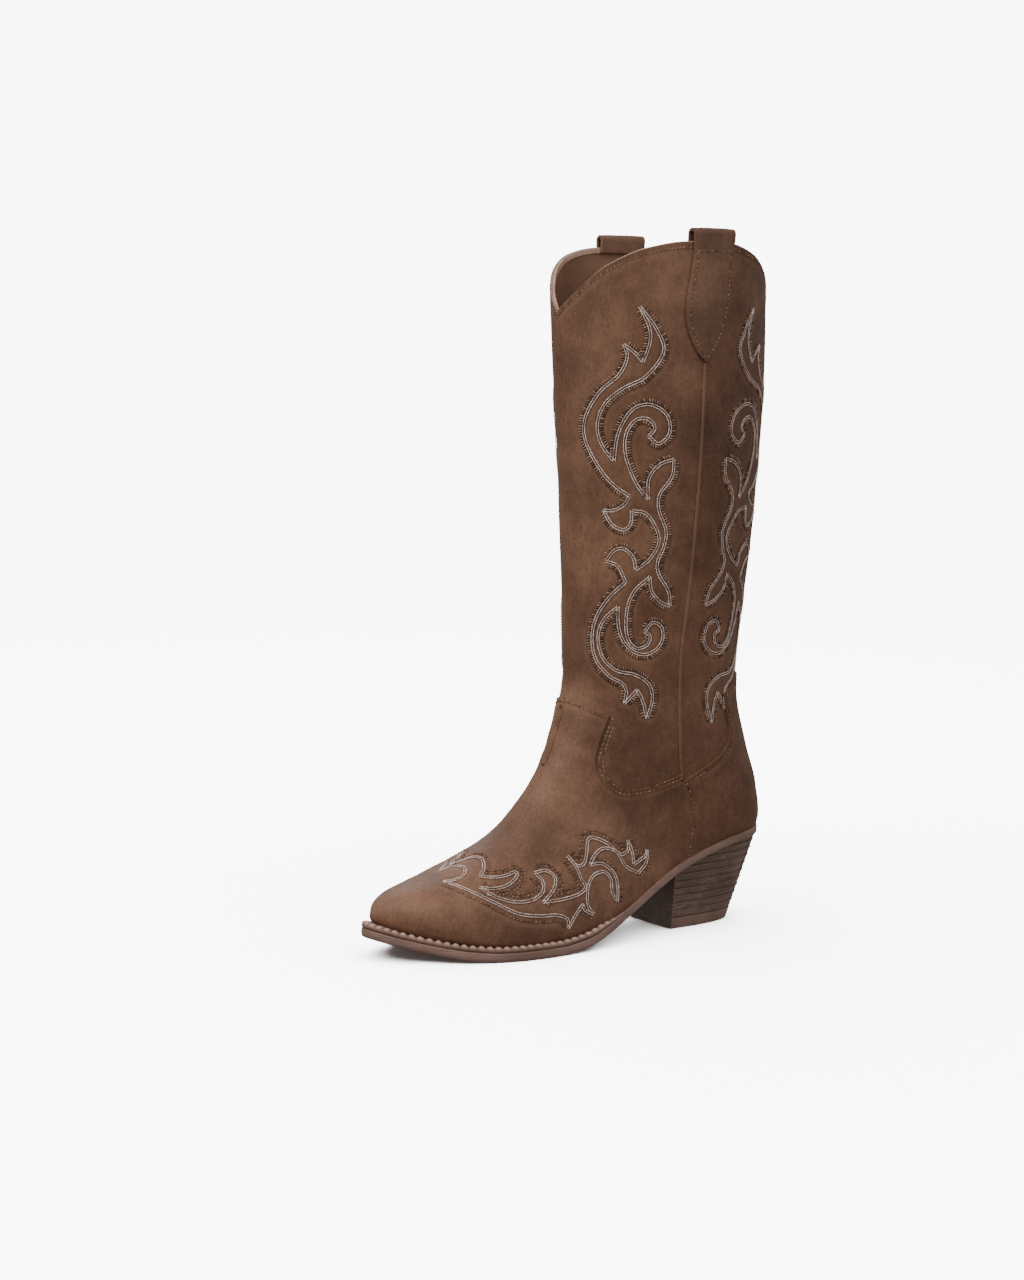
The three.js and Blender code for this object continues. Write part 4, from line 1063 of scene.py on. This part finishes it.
def strap_path():
    """The strap's centre line, as distance out from the wall's middle and height, and its outer leg."""
    leg = WALL / 2 + 0.3 + STRAP["thick"] / 2
    neck = SHAFT_PEAK - 6
    z = STRAP["tip"] + (neck - STRAP["tip"]) * np.linspace(0, 1, 34) ** 1.6
    outer = np.stack([np.full(34, leg), z], -1)
    turn = np.linspace(0, math.pi, 22)
    arc = np.stack([leg * np.cos(turn), SHAFT_PEAK + STRAP["lift"] + leg * np.sin(turn)], -1)
    inner = np.stack([np.full(6, -leg), np.linspace(SHAFT_PEAK + 2, SHAFT_PEAK - STRAP["tucked"], 6)], -1)
    return outer, np.concatenate([outer, arc, inner])


def strap_half(path, outer_rows):
    half = np.full(len(path), STRAP["half"])
    near = path[:outer_rows, 1] - STRAP["tip"]
    rise = np.clip(near / 34, 0, 1)
    half[:outer_rows] = STRAP["half"] * (1 - (1 - rise) ** 2.0) ** 0.82 - 0.9 * smooth(34, 64, near)
    half[0] = 0.6
    return half


def pull_strap(name, node, side):
    """A leather ribbon folded over the top edge: a pointed tongue that leans forward, and a flat loop."""
    outer, path = strap_path()
    half = strap_half(path, len(outer))
    across = np.linspace(-1, 1, 25)
    lean = 7.0 * smooth(338, 412, path[:, 1:]) - 5.6
    y = STRAP["y"] + lean + half[:, None] * across
    z = np.broadcast_to(path[:, 1:], y.shape)
    x = side_x(y, np.minimum(z, SHAFT_PEAK), side) - WALL / 2 + path[:, :1]
    tangent = unit(np.gradient(path, axis=0))
    normal = np.stack([side * tangent[:, 1], np.zeros(len(path)), -tangent[:, 0]], -1)
    swell = 0.25 * smooth(1.0, 0.55, np.abs(across))[None, :, None]
    front = np.stack([side * x, y, z], -1) + normal[:, None] * (STRAP["thick"] / 2 + swell)
    piece = lay(name, front)
    face_out(piece, front[20, 12], (side, 0, 0))
    cut_leather(piece, "strap_leather", STRAP["thick"], 0.5)
    rows = strap_rows(front, normal, half, len(outer) - 1)
    tree = tree_of(rows)
    points = corners(piece)
    paint(piece, "stitch_gap", [tree.find(q)[2] for q in points])
    paint(piece, "rub", np.zeros(len(points)))
    finish_piece(piece, "strap_leather", node, rim=RAW_EDGE)
    sew(name + "_stitches", "strap", rows)


def strap_rows(front, normal, half, neck):
    """Stitch places down both edges of the tongue, round its tip, and across under the loop. The neck is
    the path's row at the top of the tongue."""
    inset, columns = STRAP["inset"], np.linspace(-1, 1, front.shape[1])
    kept = [i for i in range(neck, 2, -1) if half[i] > inset]
    routes = [[(i, sign * (half[i] - inset) / half[i]) for i in kept] for sign in (1, -1)]
    routes.append([(neck, share) for share in np.linspace(-0.85, 0.85, 12)])
    rows = []
    for route in routes:
        line = np.array([[np.interp(share, columns, front[i, :, k]) for k in range(3)] for i, share in route])
        run = run_of(line)
        table = np.concatenate([line, unit(np.gradient(line, axis=0)), normal[[i for i, _ in route]]], 1)
        rows.append(resample(middles(run[-1], int(run[-1] / STITCHES["strap"][1])), run, table))
    return rows


def tree_of(rows):
    places = np.concatenate(rows)[:, :3]
    tree = kdtree.KDTree(len(places))
    for i, p in enumerate(places):
        tree.insert(p, i)
    tree.balance()
    return tree


# ---- the bottom ----
def end_of(step):
    """How far the upper reaches along the welt, in small steps backward or forward."""
    y = 0.0
    while abs(skin(*locate(y + step, feather(y + step)))[1] - (y + step)) <= 0.15:
        y += step
    return y


HEEL_END, TOE_END = end_of(0.2), end_of(-0.2)


def sole_outline():
    """The plan of the bottom, moved out from the upper by a distance that varies along the foot."""
    count = 240
    turn = np.linspace(0, math.pi, count)
    y = HEEL_END + (TOE_END - HEEL_END) * (1 - np.cos(turn)) / 2
    sides = []
    for side in (1, -1):
        v, angle = locate(y, feather(y))
        x = skin(v, side * angle)[:, 0]
        sides.append(np.stack([x, y], -1))
    sides[0][0, 0] = sides[1][0, 0] = 0
    ring = even_ring(np.concatenate([sides[0], sides[1][::-1][:-1]]), count)[:-1]
    for _ in range(6):
        ring = (np.roll(ring, 1, 0) + 2 * ring + np.roll(ring, -1, 0)) / 4
    closed = np.concatenate([ring, ring[:1]])
    return ring + ring_out(closed)[:-1] * beyond_upper(ring[:, 1])[:, None]


def beyond_upper(y):
    return (SHANK_BEYOND + (WELT_BEYOND - SHANK_BEYOND) * (1 - smooth(-100, -60, y))
            + TOE_BEYOND * (1 - smooth(TOE_END, TOE_END + 22, y)))


def even_ring(ring, count):
    return evenly(np.concatenate([ring, ring[:1]]), count + 1)


def ring_out(ring):
    """Outward directions of a closed plan whose last point repeats the first."""
    along = np.roll(ring[:-1], -1, 0) - np.roll(ring[:-1], 1, 0)
    out = unit(np.stack([along[:, 1], -along[:, 0]], -1))
    if np.sum(out * (ring[:-1] - ring[:-1].mean(0))) < 0:
        out = -out
    return np.concatenate([out, out[:1]])


def raised(plan, z):
    """A plan's points with their heights."""
    return np.concatenate([plan, z[:, None]], 1)


def outsole():
    """The sole: a bevelled slab that follows the ground line, spring at the toe and rise at the waist."""
    ring = even_ring(sole_outline(), 420)
    out = ring_out(ring)
    middle = np.stack([np.interp(ring[:, 1], [-215, -120, 60], [-5, 0, 0]), ring[:, 1]], -1)
    inside = (0.0, 0.35, 0.7, 0.93)
    wall = [(-1.1, 0.0), (-0.45, 0.12), (0.0, 0.7), (0.1, 2.5), (0.0, 4.45), (-0.5, 5.0), (-1.4, 5.0)]
    levels = [(share, -1.1, 0.0) for share in inside] + [(1, *pair) for pair in wall] \
        + [(share, -1.4, OUTSOLE) for share in inside[::-1]]
    rows = []
    for share, a, height in levels:
        flat = ring + out * a
        if share < 1:
            flat = middle + (flat - middle) * share
        rows.append(raised(flat, ground(flat[:, 1]) + height))
    piece = lay("sole", np.stack(rows), closed=True)
    finish_piece(piece, "sole", "outsole", angle=35)


def welt():
    """The welt: a strip whose top edge is milled into rounded bumps, fading out at the waist."""
    ring = even_ring(sole_outline(), 1500)
    out = ring_out(ring)
    run = run_of(ring)
    pitch, bump_share, bump_rise = 4.9, 0.72, 1.1
    phase = (run / run[-1] * round(run[-1] / pitch)) % 1.0
    crown = np.clip(np.sin(np.minimum(phase / bump_share, 1) * math.pi), 0, 1) ** 0.55
    share = welt_thick(ring[:, 1]) / WELT
    height = 0.15 + (WELT - 1.3) * share
    rise = crown * bump_rise * smooth(0.15, 0.9, share)
    lower = ground(ring[:, 1]) + OUTSOLE + 0.05
    profile = [(-9.0, 0, 0.0), (-0.55, 0, 0.0), (-0.15, 0.25, 0.0), (-0.1, 0.75, 0.1), (-0.35, 1.0, 0.55),
               (-1.1, 1.0, 0.95), (-2.2, 1.0, 1.0), (-3.4, 1.0, 0.85), (-4.4, 1.0, 0.35), (-5.2, 0.9, 0.0),
               (-9.0, 0.9, 0.0)]
    rows, marks = [], []
    for a, b, c in profile:
        flat = ring + out * (a + 0.25 * c * (1 - crown))[:, None]
        rows.append(raised(flat, lower + height * b + rise * c))
        # where the welt's painted highlight falls: strongest on the bump crowns, a little over the whole top
        # face
        marks.append(crown * c * smooth(0.1, 0.7, share) + 0.25 * (b > 0.5))
    rows.append(rows[0])
    piece = lay("welt_strip", np.stack(rows))
    paint(piece, "crown", np.clip(np.stack(marks + [marks[0]]).ravel(), 0, 1))
    weld(piece)
    edit(piece, lambda: bpy.ops.mesh.normals_make_consistent(inside=False))
    finish_piece(piece, "welt", "welt", angle=60)


# ---- heel ----
HEEL = {"breast": -24.0, "back": 28.0, "half": 21.5, "lift": 6.7, "lifts": 10}


def heel_plan(z):
    """The heel's plan at a height: straight breast, rounded back, wider toward the seat."""
    share = z / ground(HEEL_END)
    v, angle = locate(12.0, feather(12.0))
    top_half = skin(v, angle)[0] + SHANK_BEYOND - 0.4
    breast = HEEL["breast"] - 1.5 * share
    back = HEEL["back"] + (HEEL_END + SHANK_BEYOND - 0.4 - HEEL["back"]) * share
    half = HEEL["half"] + (top_half - HEEL["half"]) * share
    a = np.linspace(0, math.pi / 2, 40)
    y = breast + (back - breast) * np.sin(a) ** 0.86
    x = half * np.cos(a) ** 0.72
    right = np.stack([x, y], -1)
    left = np.stack([-x[:-1], y[:-1]], -1)[::-1]
    front = np.stack([np.linspace(-half, half, 18)[1:-1], np.full(16, breast)], -1)
    ring = np.concatenate([right, left, front])
    return np.concatenate([ring, ring[:1]])


def heel_slice(name, slot, nodes, low, high, proud, soft):
    """One lift with eased edges; where it reaches the sole it is cut to the sole's underside."""
    ease, face = soft * 0.3, 1 - soft / 20
    levels = [(low, 0.0, 0), (low, 0.6, 0), (low, face, 0), (low + ease, 1, proud - ease),
              (low + soft, 1, proud), ((low + high) / 2, 1, proud), (high - soft, 1, proud),
              (high - ease, 1, proud - ease), (high, face, 0), (high, 0.6, 0), (high, 0.0, 0)]
    rows = []
    for z, share, out in levels:
        ring = heel_plan(z)
        flat = ring * share if share < 1 else ring + ring_out(ring) * out
        rows.append(raised(flat, np.minimum(z, ground(flat[:, 1]) - 0.05)))
    piece = lay(name, np.stack(rows), closed=True)
    finish_piece(piece, slot, *nodes, angle=50)


def breast_cover():
    """The dark leather that covers the front of the heel."""
    rows, columns = 30, 24
    z = np.linspace(0.2, float(ground(HEEL["breast"])) - 0.3, rows)[:, None]
    share = z / ground(HEEL_END)
    plans = [heel_plan(float(level)) for level in z[:, 0]]
    half = np.array([plan[0, 0] for plan in plans])[:, None] + 0.15
    across = np.linspace(-1, 1, columns)[None, :]
    y = HEEL["breast"] - 1.5 * share - 0.45 + 0.5 * across ** 8
    p = np.stack(np.broadcast_arrays(half * across, y, z), -1)
    piece = lay("breast_cover", p)
    face_out(piece, p[15, 12], (0, -1, 0))
    modify(piece, "SOLIDIFY", thickness=0.7 * MM, offset=-1)
    finish_piece(piece, "heel_stack")


def heel():
    breast_cover()
    heel_slice("top_lift", "top_lift", ["heel_top_lift"], 0.0, HEEL["lift"] - 0.15, 0.0, 0.5)
    pitch = (float(ground(HEEL_END)) - HEEL["lift"]) / HEEL["lifts"]
    for i in range(HEEL["lifts"]):
        low, n = HEEL["lift"] + i * pitch, i + 1
        heel_slice(f"stack_{n}", "heel_stack", [f"heel_lift_{n}"], low, low + pitch - 0.5, -0.15, 0.7)
        heel_slice(f"stack_line_{n}", "top_lift", [], low + pitch - 0.8, low + pitch + 0.05, 0.2, 0.25)


# ---- zip ----
ZIP_UP = unit(ZIP_TOP - ZIP_FOOT)
ZIP_ACROSS = unit(np.cross(unit(np.array([ZIP_FOOT[2] - ZIP_TOP[2], 0.0, ZIP_TOP[0] - ZIP_FOOT[0]])), ZIP_UP))
ZIP_FACE = np.cross(ZIP_UP, ZIP_ACROSS)
ZIP_LENGTH = float(np.linalg.norm(ZIP_TOP - ZIP_FOOT))
ZIP_PLACE = Matrix([*np.stack([ZIP_ACROSS, ZIP_FACE, ZIP_UP, ZIP_TOP * MM], 1).tolist(), (0, 0, 0, 1)])


def in_zip(across, out, up):
    """Points given in the zip's own frame, with 0 at its top."""
    across, out, up = np.broadcast_arrays(across, out, up)
    return (ZIP_TOP + across[..., None] * ZIP_ACROSS + out[..., None] * ZIP_FACE + up[..., None] * ZIP_UP)


def coil(name, node, sign):
    """One side of the coil: a flattened spiral of wire, its heads meeting the other side's."""
    pitch, per_turn, sides, wire = 1.45, 10, 5, 0.34
    turns = int(ZIP_LENGTH / pitch)
    t = np.linspace(0, turns, turns * per_turn + 1)
    turn = 2 * math.pi * t + (0 if sign > 0 else math.pi)
    line = in_zip(sign * (1.42 + 0.95 * np.cos(turn)), -0.5 + 0.42 * np.sin(turn), -ZIP_LENGTH * t / turns)
    along = unit(np.gradient(line, axis=0))
    first = unit(np.cross(along, ZIP_UP))
    second = np.cross(along, first)
    ring = [line + wire * (math.cos(a) * first + math.sin(a) * second)
            for a in np.linspace(0, 2 * math.pi, sides + 1)]
    grid = np.stack(ring, 1)
    grid[0], grid[-1] = line[:1], line[-1:]
    piece = lay(name, grid, closed=True)
    finish_piece(piece, "zip_coil", node, angle=60)


def box_piece(name, across, out, up, soft):
    """A block in the zip's frame with rounded edges."""
    bpy.ops.mesh.primitive_cube_add(size=1, location=(0, 0, 0))
    piece = bpy.context.object
    piece.name = name
    centre = [(a + b) / 2 * MM for a, b in (across, out, up)]
    size = [abs(b - a) * MM for a, b in (across, out, up)]
    piece.scale, piece.location = size, centre
    bpy.ops.object.transform_apply(location=True, scale=True)
    edit(piece, lambda: bpy.ops.mesh.bevel(offset=soft * MM, segments=3, affect="EDGES"))
    return piece


def into_place(piece):
    piece.data.transform(ZIP_PLACE)
    return piece


def joined(name, pieces):
    active(pieces[0])
    for piece in pieces:
        piece.select_set(True)
    bpy.ops.object.join()
    pieces[0].name = name
    return pieces[0]


def zip_parts():
    for name, sign in (("back", 1), ("front", -1)):
        coil("coil_" + name, "zip_coil_" + name, sign)
        up = np.linspace(4, -ZIP_LENGTH - 4, 90)
        across = sign * np.array([0.55, 1.6, 3.0, 5.0, 9.0])
        out = np.array([-1.15, -1.3, -1.5, -1.9, -2.0])
        front = in_zip(across[None, :], out[None, :], up[:, None])
        piece = lay("tape_" + name, front)
        face_out(piece, front[45, 2], ZIP_FACE)
        modify(piece, "SOLIDIFY", thickness=0.45 * MM, offset=-1)
        finish_piece(piece, "zip_tape", "zip_tape_" + name)
        lip(name, sign)
    for name, node, span in (("stop_top", "zip_top_stop", (0.3, 3.3)),
                             ("stop_foot", "zip_bottom_stop", (-ZIP_LENGTH - 3.3, -ZIP_LENGTH - 0.3))):
        piece = into_place(box_piece(name, (-2.25, 2.25), (-1.3, 0.2), span, 0.35))
        finish_piece(piece, "zip_metal", node)
    slider()
    pull_tab()


def lip(name, sign):
    """The rolled edge of leather beside the coil."""
    count, over = 130, 5.5
    up = np.linspace(over, -ZIP_LENGTH - over, count)
    centre = in_zip(sign * (ZIP_HALF_SLOT + 1.25), 0.1, up)
    ease = smooth(0, 5, over - up) * smooth(-ZIP_LENGTH - over, -ZIP_LENGTH - 1, up)
    centre -= np.outer((1 - ease) * 0.6, ZIP_FACE)
    out, along = np.tile(ZIP_FACE, (count, 1)), np.tile(-ZIP_UP, (count, 1))
    piece = tube("zip_lip_" + name, centre, out, along, (1.35, 1.0), sides=12)
    # an even painted highlight over the rolled lip
    paint_plain(piece, 0.5)
    finish_piece(piece, "upper_leather")
    z_high, z_low = in_zip(0.0, 0.0, 7.0)[2], in_zip(0.0, 0.0, -ZIP_LENGTH - 6)[2]
    line = shifted_zip(sign * (ZIP_HALF_SLOT + 4.2), np.linspace(z_high, z_low, 60))
    route = evenly_on_boot(on_boot(line, -1))
    lapped = skin(route[:, 0], route[:, 1])[:, 2] < 90
    seam_stitches(f"zip_stitches_{name}_shaft", route[~lapped], 0.0)
    seam_stitches(f"zip_stitches_{name}_foot", route[lapped], LAP)


def slider():
    """The slider: a roof and a floor plate joined by webs, with the bridge that holds the pull."""
    roof = box_piece("roof", (-3.7, 3.7), (0.5, 1.45), (-9, 0), 0.3)
    floor = box_piece("floor", (-3.7, 3.7), (-3.9, -3.0), (-9, 0), 0.25)
    webs = [box_piece("web", (s * 2.6, s * 3.7), (-1.3, 0.6), (-9, 0), 0.2) for s in (1, -1)]
    wedge = box_piece("wedge", (-0.45, 0.45), (-3.1, 0.6), (-3, 0), 0.12)
    bpy.ops.mesh.primitive_torus_add(major_radius=1.75 * MM, minor_radius=0.45 * MM, major_segments=24,
                                     minor_segments=10, rotation=(0, math.pi / 2, 0),
                                     location=(0, 2.0 * MM, -4.5 * MM))
    bridge = bpy.context.object
    bpy.ops.object.transform_apply(location=True, rotation=True, scale=True)
    edit(bridge, lambda: bpy.ops.transform.resize(value=(1.7, 1, 1.25), center_override=(0, 0.002, -0.0045)))
    piece = into_place(joined("slider", [roof, floor, *webs, wedge, bridge]))
    finish_piece(piece, "zip_metal", "zip_slider", body="slider", angle=35)


def pull_tab():
    """The pull: two arms and an axle at the bridge, and a tapered tab with a raised border round a sunk
    middle.
    """
    outline = np.array([(-1.9, -6.6), (1.9, -6.6), (3.1, -11.0), (3.1, -22.4), (1.7, -24.3), (-1.7, -24.3),
                        (-3.1, -22.4), (-3.1, -11.0)])
    bpy.ops.mesh.primitive_circle_add(vertices=8, radius=1, fill_type="NGON")
    tab = bpy.context.object
    tab.name = "pull"
    order = np.array([[x, 2.25, z] for x, z in outline])
    tab.data.vertices.foreach_set("co", (order * MM).astype(np.float32).ravel())
    tab.data.update()
    edit(tab, lambda: bpy.ops.mesh.inset(thickness=0.7 * MM),
         lambda: bpy.ops.mesh.inset(thickness=0.12 * MM, depth=-0.22 * MM))
    modify(tab, "SOLIDIFY", thickness=0.85 * MM, offset=0)
    modify(tab, "BEVEL", width=0.18 * MM, segments=2, limit_method="ANGLE", angle_limit=math.radians(40))
    arms = [box_piece("arm", (s * 1.3, s * 2.2), (2.2, 3.2), (-12, -4.2), 0.25) for s in (1, -1)]
    bpy.ops.mesh.primitive_cylinder_add(vertices=20, radius=0.6 * MM, depth=4.4 * MM,
                                        rotation=(0, math.pi / 2, 0), location=(0, 2.7 * MM, -4.5 * MM))
    axle = bpy.context.object
    bpy.ops.object.transform_apply(location=True, rotation=True, scale=True)
    edit(axle, lambda: bpy.ops.mesh.bevel(offset=0.1 * MM, segments=2, affect="EDGES"))
    edit(tab, lambda: bpy.ops.transform.translate(value=(0, 0.45 * MM, 0)),
         lambda: bpy.ops.mesh.normals_make_consistent(inside=False))
    piece = into_place(joined("pull", [tab, *arms, axle]))
    finish_piece(piece, "zip_metal", "zip_pull", body="pull", angle=35)


# ---- seams ----
def seams():
    """Stitch rows along the lapped edges of the vamp and the counter."""
    near, far = 2.4, 4.6
    for name, side in (("outer", 1), ("inner", -1)):
        edge = VAMP_EDGE if side > 0 else VAMP_EDGE[VAMP_EDGE[:, 0] < -42]
        route = evenly_on_boot(on_boot(edge, side))
        seam_stitches("vamp_edge_" + name, route, LAP, side * near)
        seam_stitches("vamp_edge_second_" + name, route[6:], LAP, side * far)
        edge = COUNTER_EDGE if side > 0 else COUNTER_EDGE[COUNTER_EDGE[:, 0] > -18]
        seam_stitches("counter_edge_" + name, evenly_on_boot(on_boot(edge, side)), LAP, side * near)
    for name, line, behind, offset in (("vamp_tab", TAB_TOP, 0, -near),
                                       ("counter_tongue", COUNTER_TOP, 2 * math.pi, near)):
        both = np.concatenate([on_boot(line, -1)[::-1] + (0, behind), on_boot(line, 1)[1:]])
        seam_stitches(name, evenly_on_boot(both)[2:-2], LAP, offset)
    seam_stitches("foot_seam_outer", evenly_on_boot(on_boot(FOOT_SEAM[2:], 1)), LAP, 2.0)


# ---- the room ----
FLOOR_GLOW, FLOOR_SHADE = 8.0, 0.97


def room():
    """A white floor that fades into a white studio. It has a lamp of its own, whose light isn't cast
    back on the boot."""
    bpy.ops.mesh.primitive_plane_add(size=40, location=(0, 0, -0.0003))
    floor = bpy.context.object
    floor.name = "floor"
    floor.visible_diffuse = floor.visible_glossy = False
    f = Finish("pale floor", Roughness=0.9, Specular_IOR_Level=0.2)
    cloud = f.noise(3, 2)
    f.feed(Base_Color=f.ramp(cloud, (0.0, tone(250, 250, 250)), (1.0, tone(253, 253, 253))))
    floor.data.materials.append(f.material)
    world = bpy.data.worlds.new("studio")
    world.use_nodes = True
    nodes, link = world.node_tree.nodes, world.node_tree.links.new
    lit, seen = nodes["Background"], nodes.new("ShaderNodeBackground")
    lit.inputs["Color"].default_value = seen.inputs["Color"].default_value = (1, 1, 1, 1)
    seen.inputs["Strength"].default_value = FLOOR_GLOW + 0.6
    height, level = nodes.new("ShaderNodeSeparateXYZ"), nodes.new("ShaderNodeMapRange")
    link(nodes.new("ShaderNodeTexCoord").outputs["Generated"], height.inputs[0])
    link(height.outputs["Z"], level.inputs["Value"])
    for socket, value in (("From Min", -0.5), ("From Max", 0.6), ("To Min", 0.22), ("To Max", 0.62)):
        level.inputs[socket].default_value = value
    link(level.outputs[0], lit.inputs["Strength"])
    either = nodes.new("ShaderNodeMixShader")
    link(nodes.new("ShaderNodeLightPath").outputs["Is Camera Ray"], either.inputs[0])
    link(lit.outputs[0], either.inputs[1])
    link(seen.outputs[0], either.inputs[2])
    link(either.outputs[0], nodes["World Output"].inputs[0])
    bpy.context.scene.world = world
    bpy.ops.object.light_add(type="SUN", location=(0, 0, 2))
    above = bpy.context.object
    above.name = "floor_light"
    above.data.energy = FLOOR_GLOW * math.pi / FLOOR_SHADE
    above.data.angle = math.radians(110)
    above.light_linking.receiver_collection = bpy.data.collections.new("floor only")
    above.light_linking.receiver_collection.objects.link(floor)
    lamps = {
        "key": ((0.2, -1.6, 1.7), 44, 1.3),
        "rim": ((-1.3, 0.5, 1.2), 16, 1.0),
        "fill": ((1.8, 0.3, 1.1), 11, 1.4),
    }
    for name, (place, power, size) in lamps.items():
        bpy.ops.object.light_add(type="AREA", location=place)
        lamp = bpy.context.object
        lamp.name = name
        lamp.data.energy = power
        lamp.data.size = size
        lamp.rotation_euler = (Vector((0, -0.06, 0.15)) - Vector(place)).to_track_quat("-Z", "Y").to_euler()


def camera():
    turn, pitch = math.radians(57.72), math.radians(6.01)
    forward = Vector((-math.sin(turn) * math.cos(pitch), math.cos(turn) * math.cos(pitch), -math.sin(pitch)))
    bpy.ops.object.camera_add(location=(1.22982, -0.89809, 0.32842),
                              rotation=forward.to_track_quat("-Z", "Y").to_euler())
    view = bpy.context.object
    view.name = "view"
    view.data.lens = 72.07
    view.data.sensor_width = 36
    view.data.clip_end = 50
    bpy.context.scene.camera = view


for part in frame["record"]["subparts"]:
    target = frame["nodes"][part["node"]].data.materials
    target.clear()
    target.append(LOOKS[part["material_slot"]])

camera()
embroider()
seams()
zip_parts()
binding()
hole_tree = tree_of(holes)
shaft_panel("shaft_front", "shaft_front_panel", 0)
shaft_panel("shaft_back", "shaft_back_panel", math.pi)
vamp()
counter()
inner_cover("lining_front", "shaft_lining_front", 0)
inner_cover("lining_back", "shaft_lining_back", math.pi)
piping()
pull_strap("strap_outer", "pull_strap_outer", 1)
pull_strap("strap_inner", "pull_strap_inner", -1)
outsole()
welt()
heel()
room()
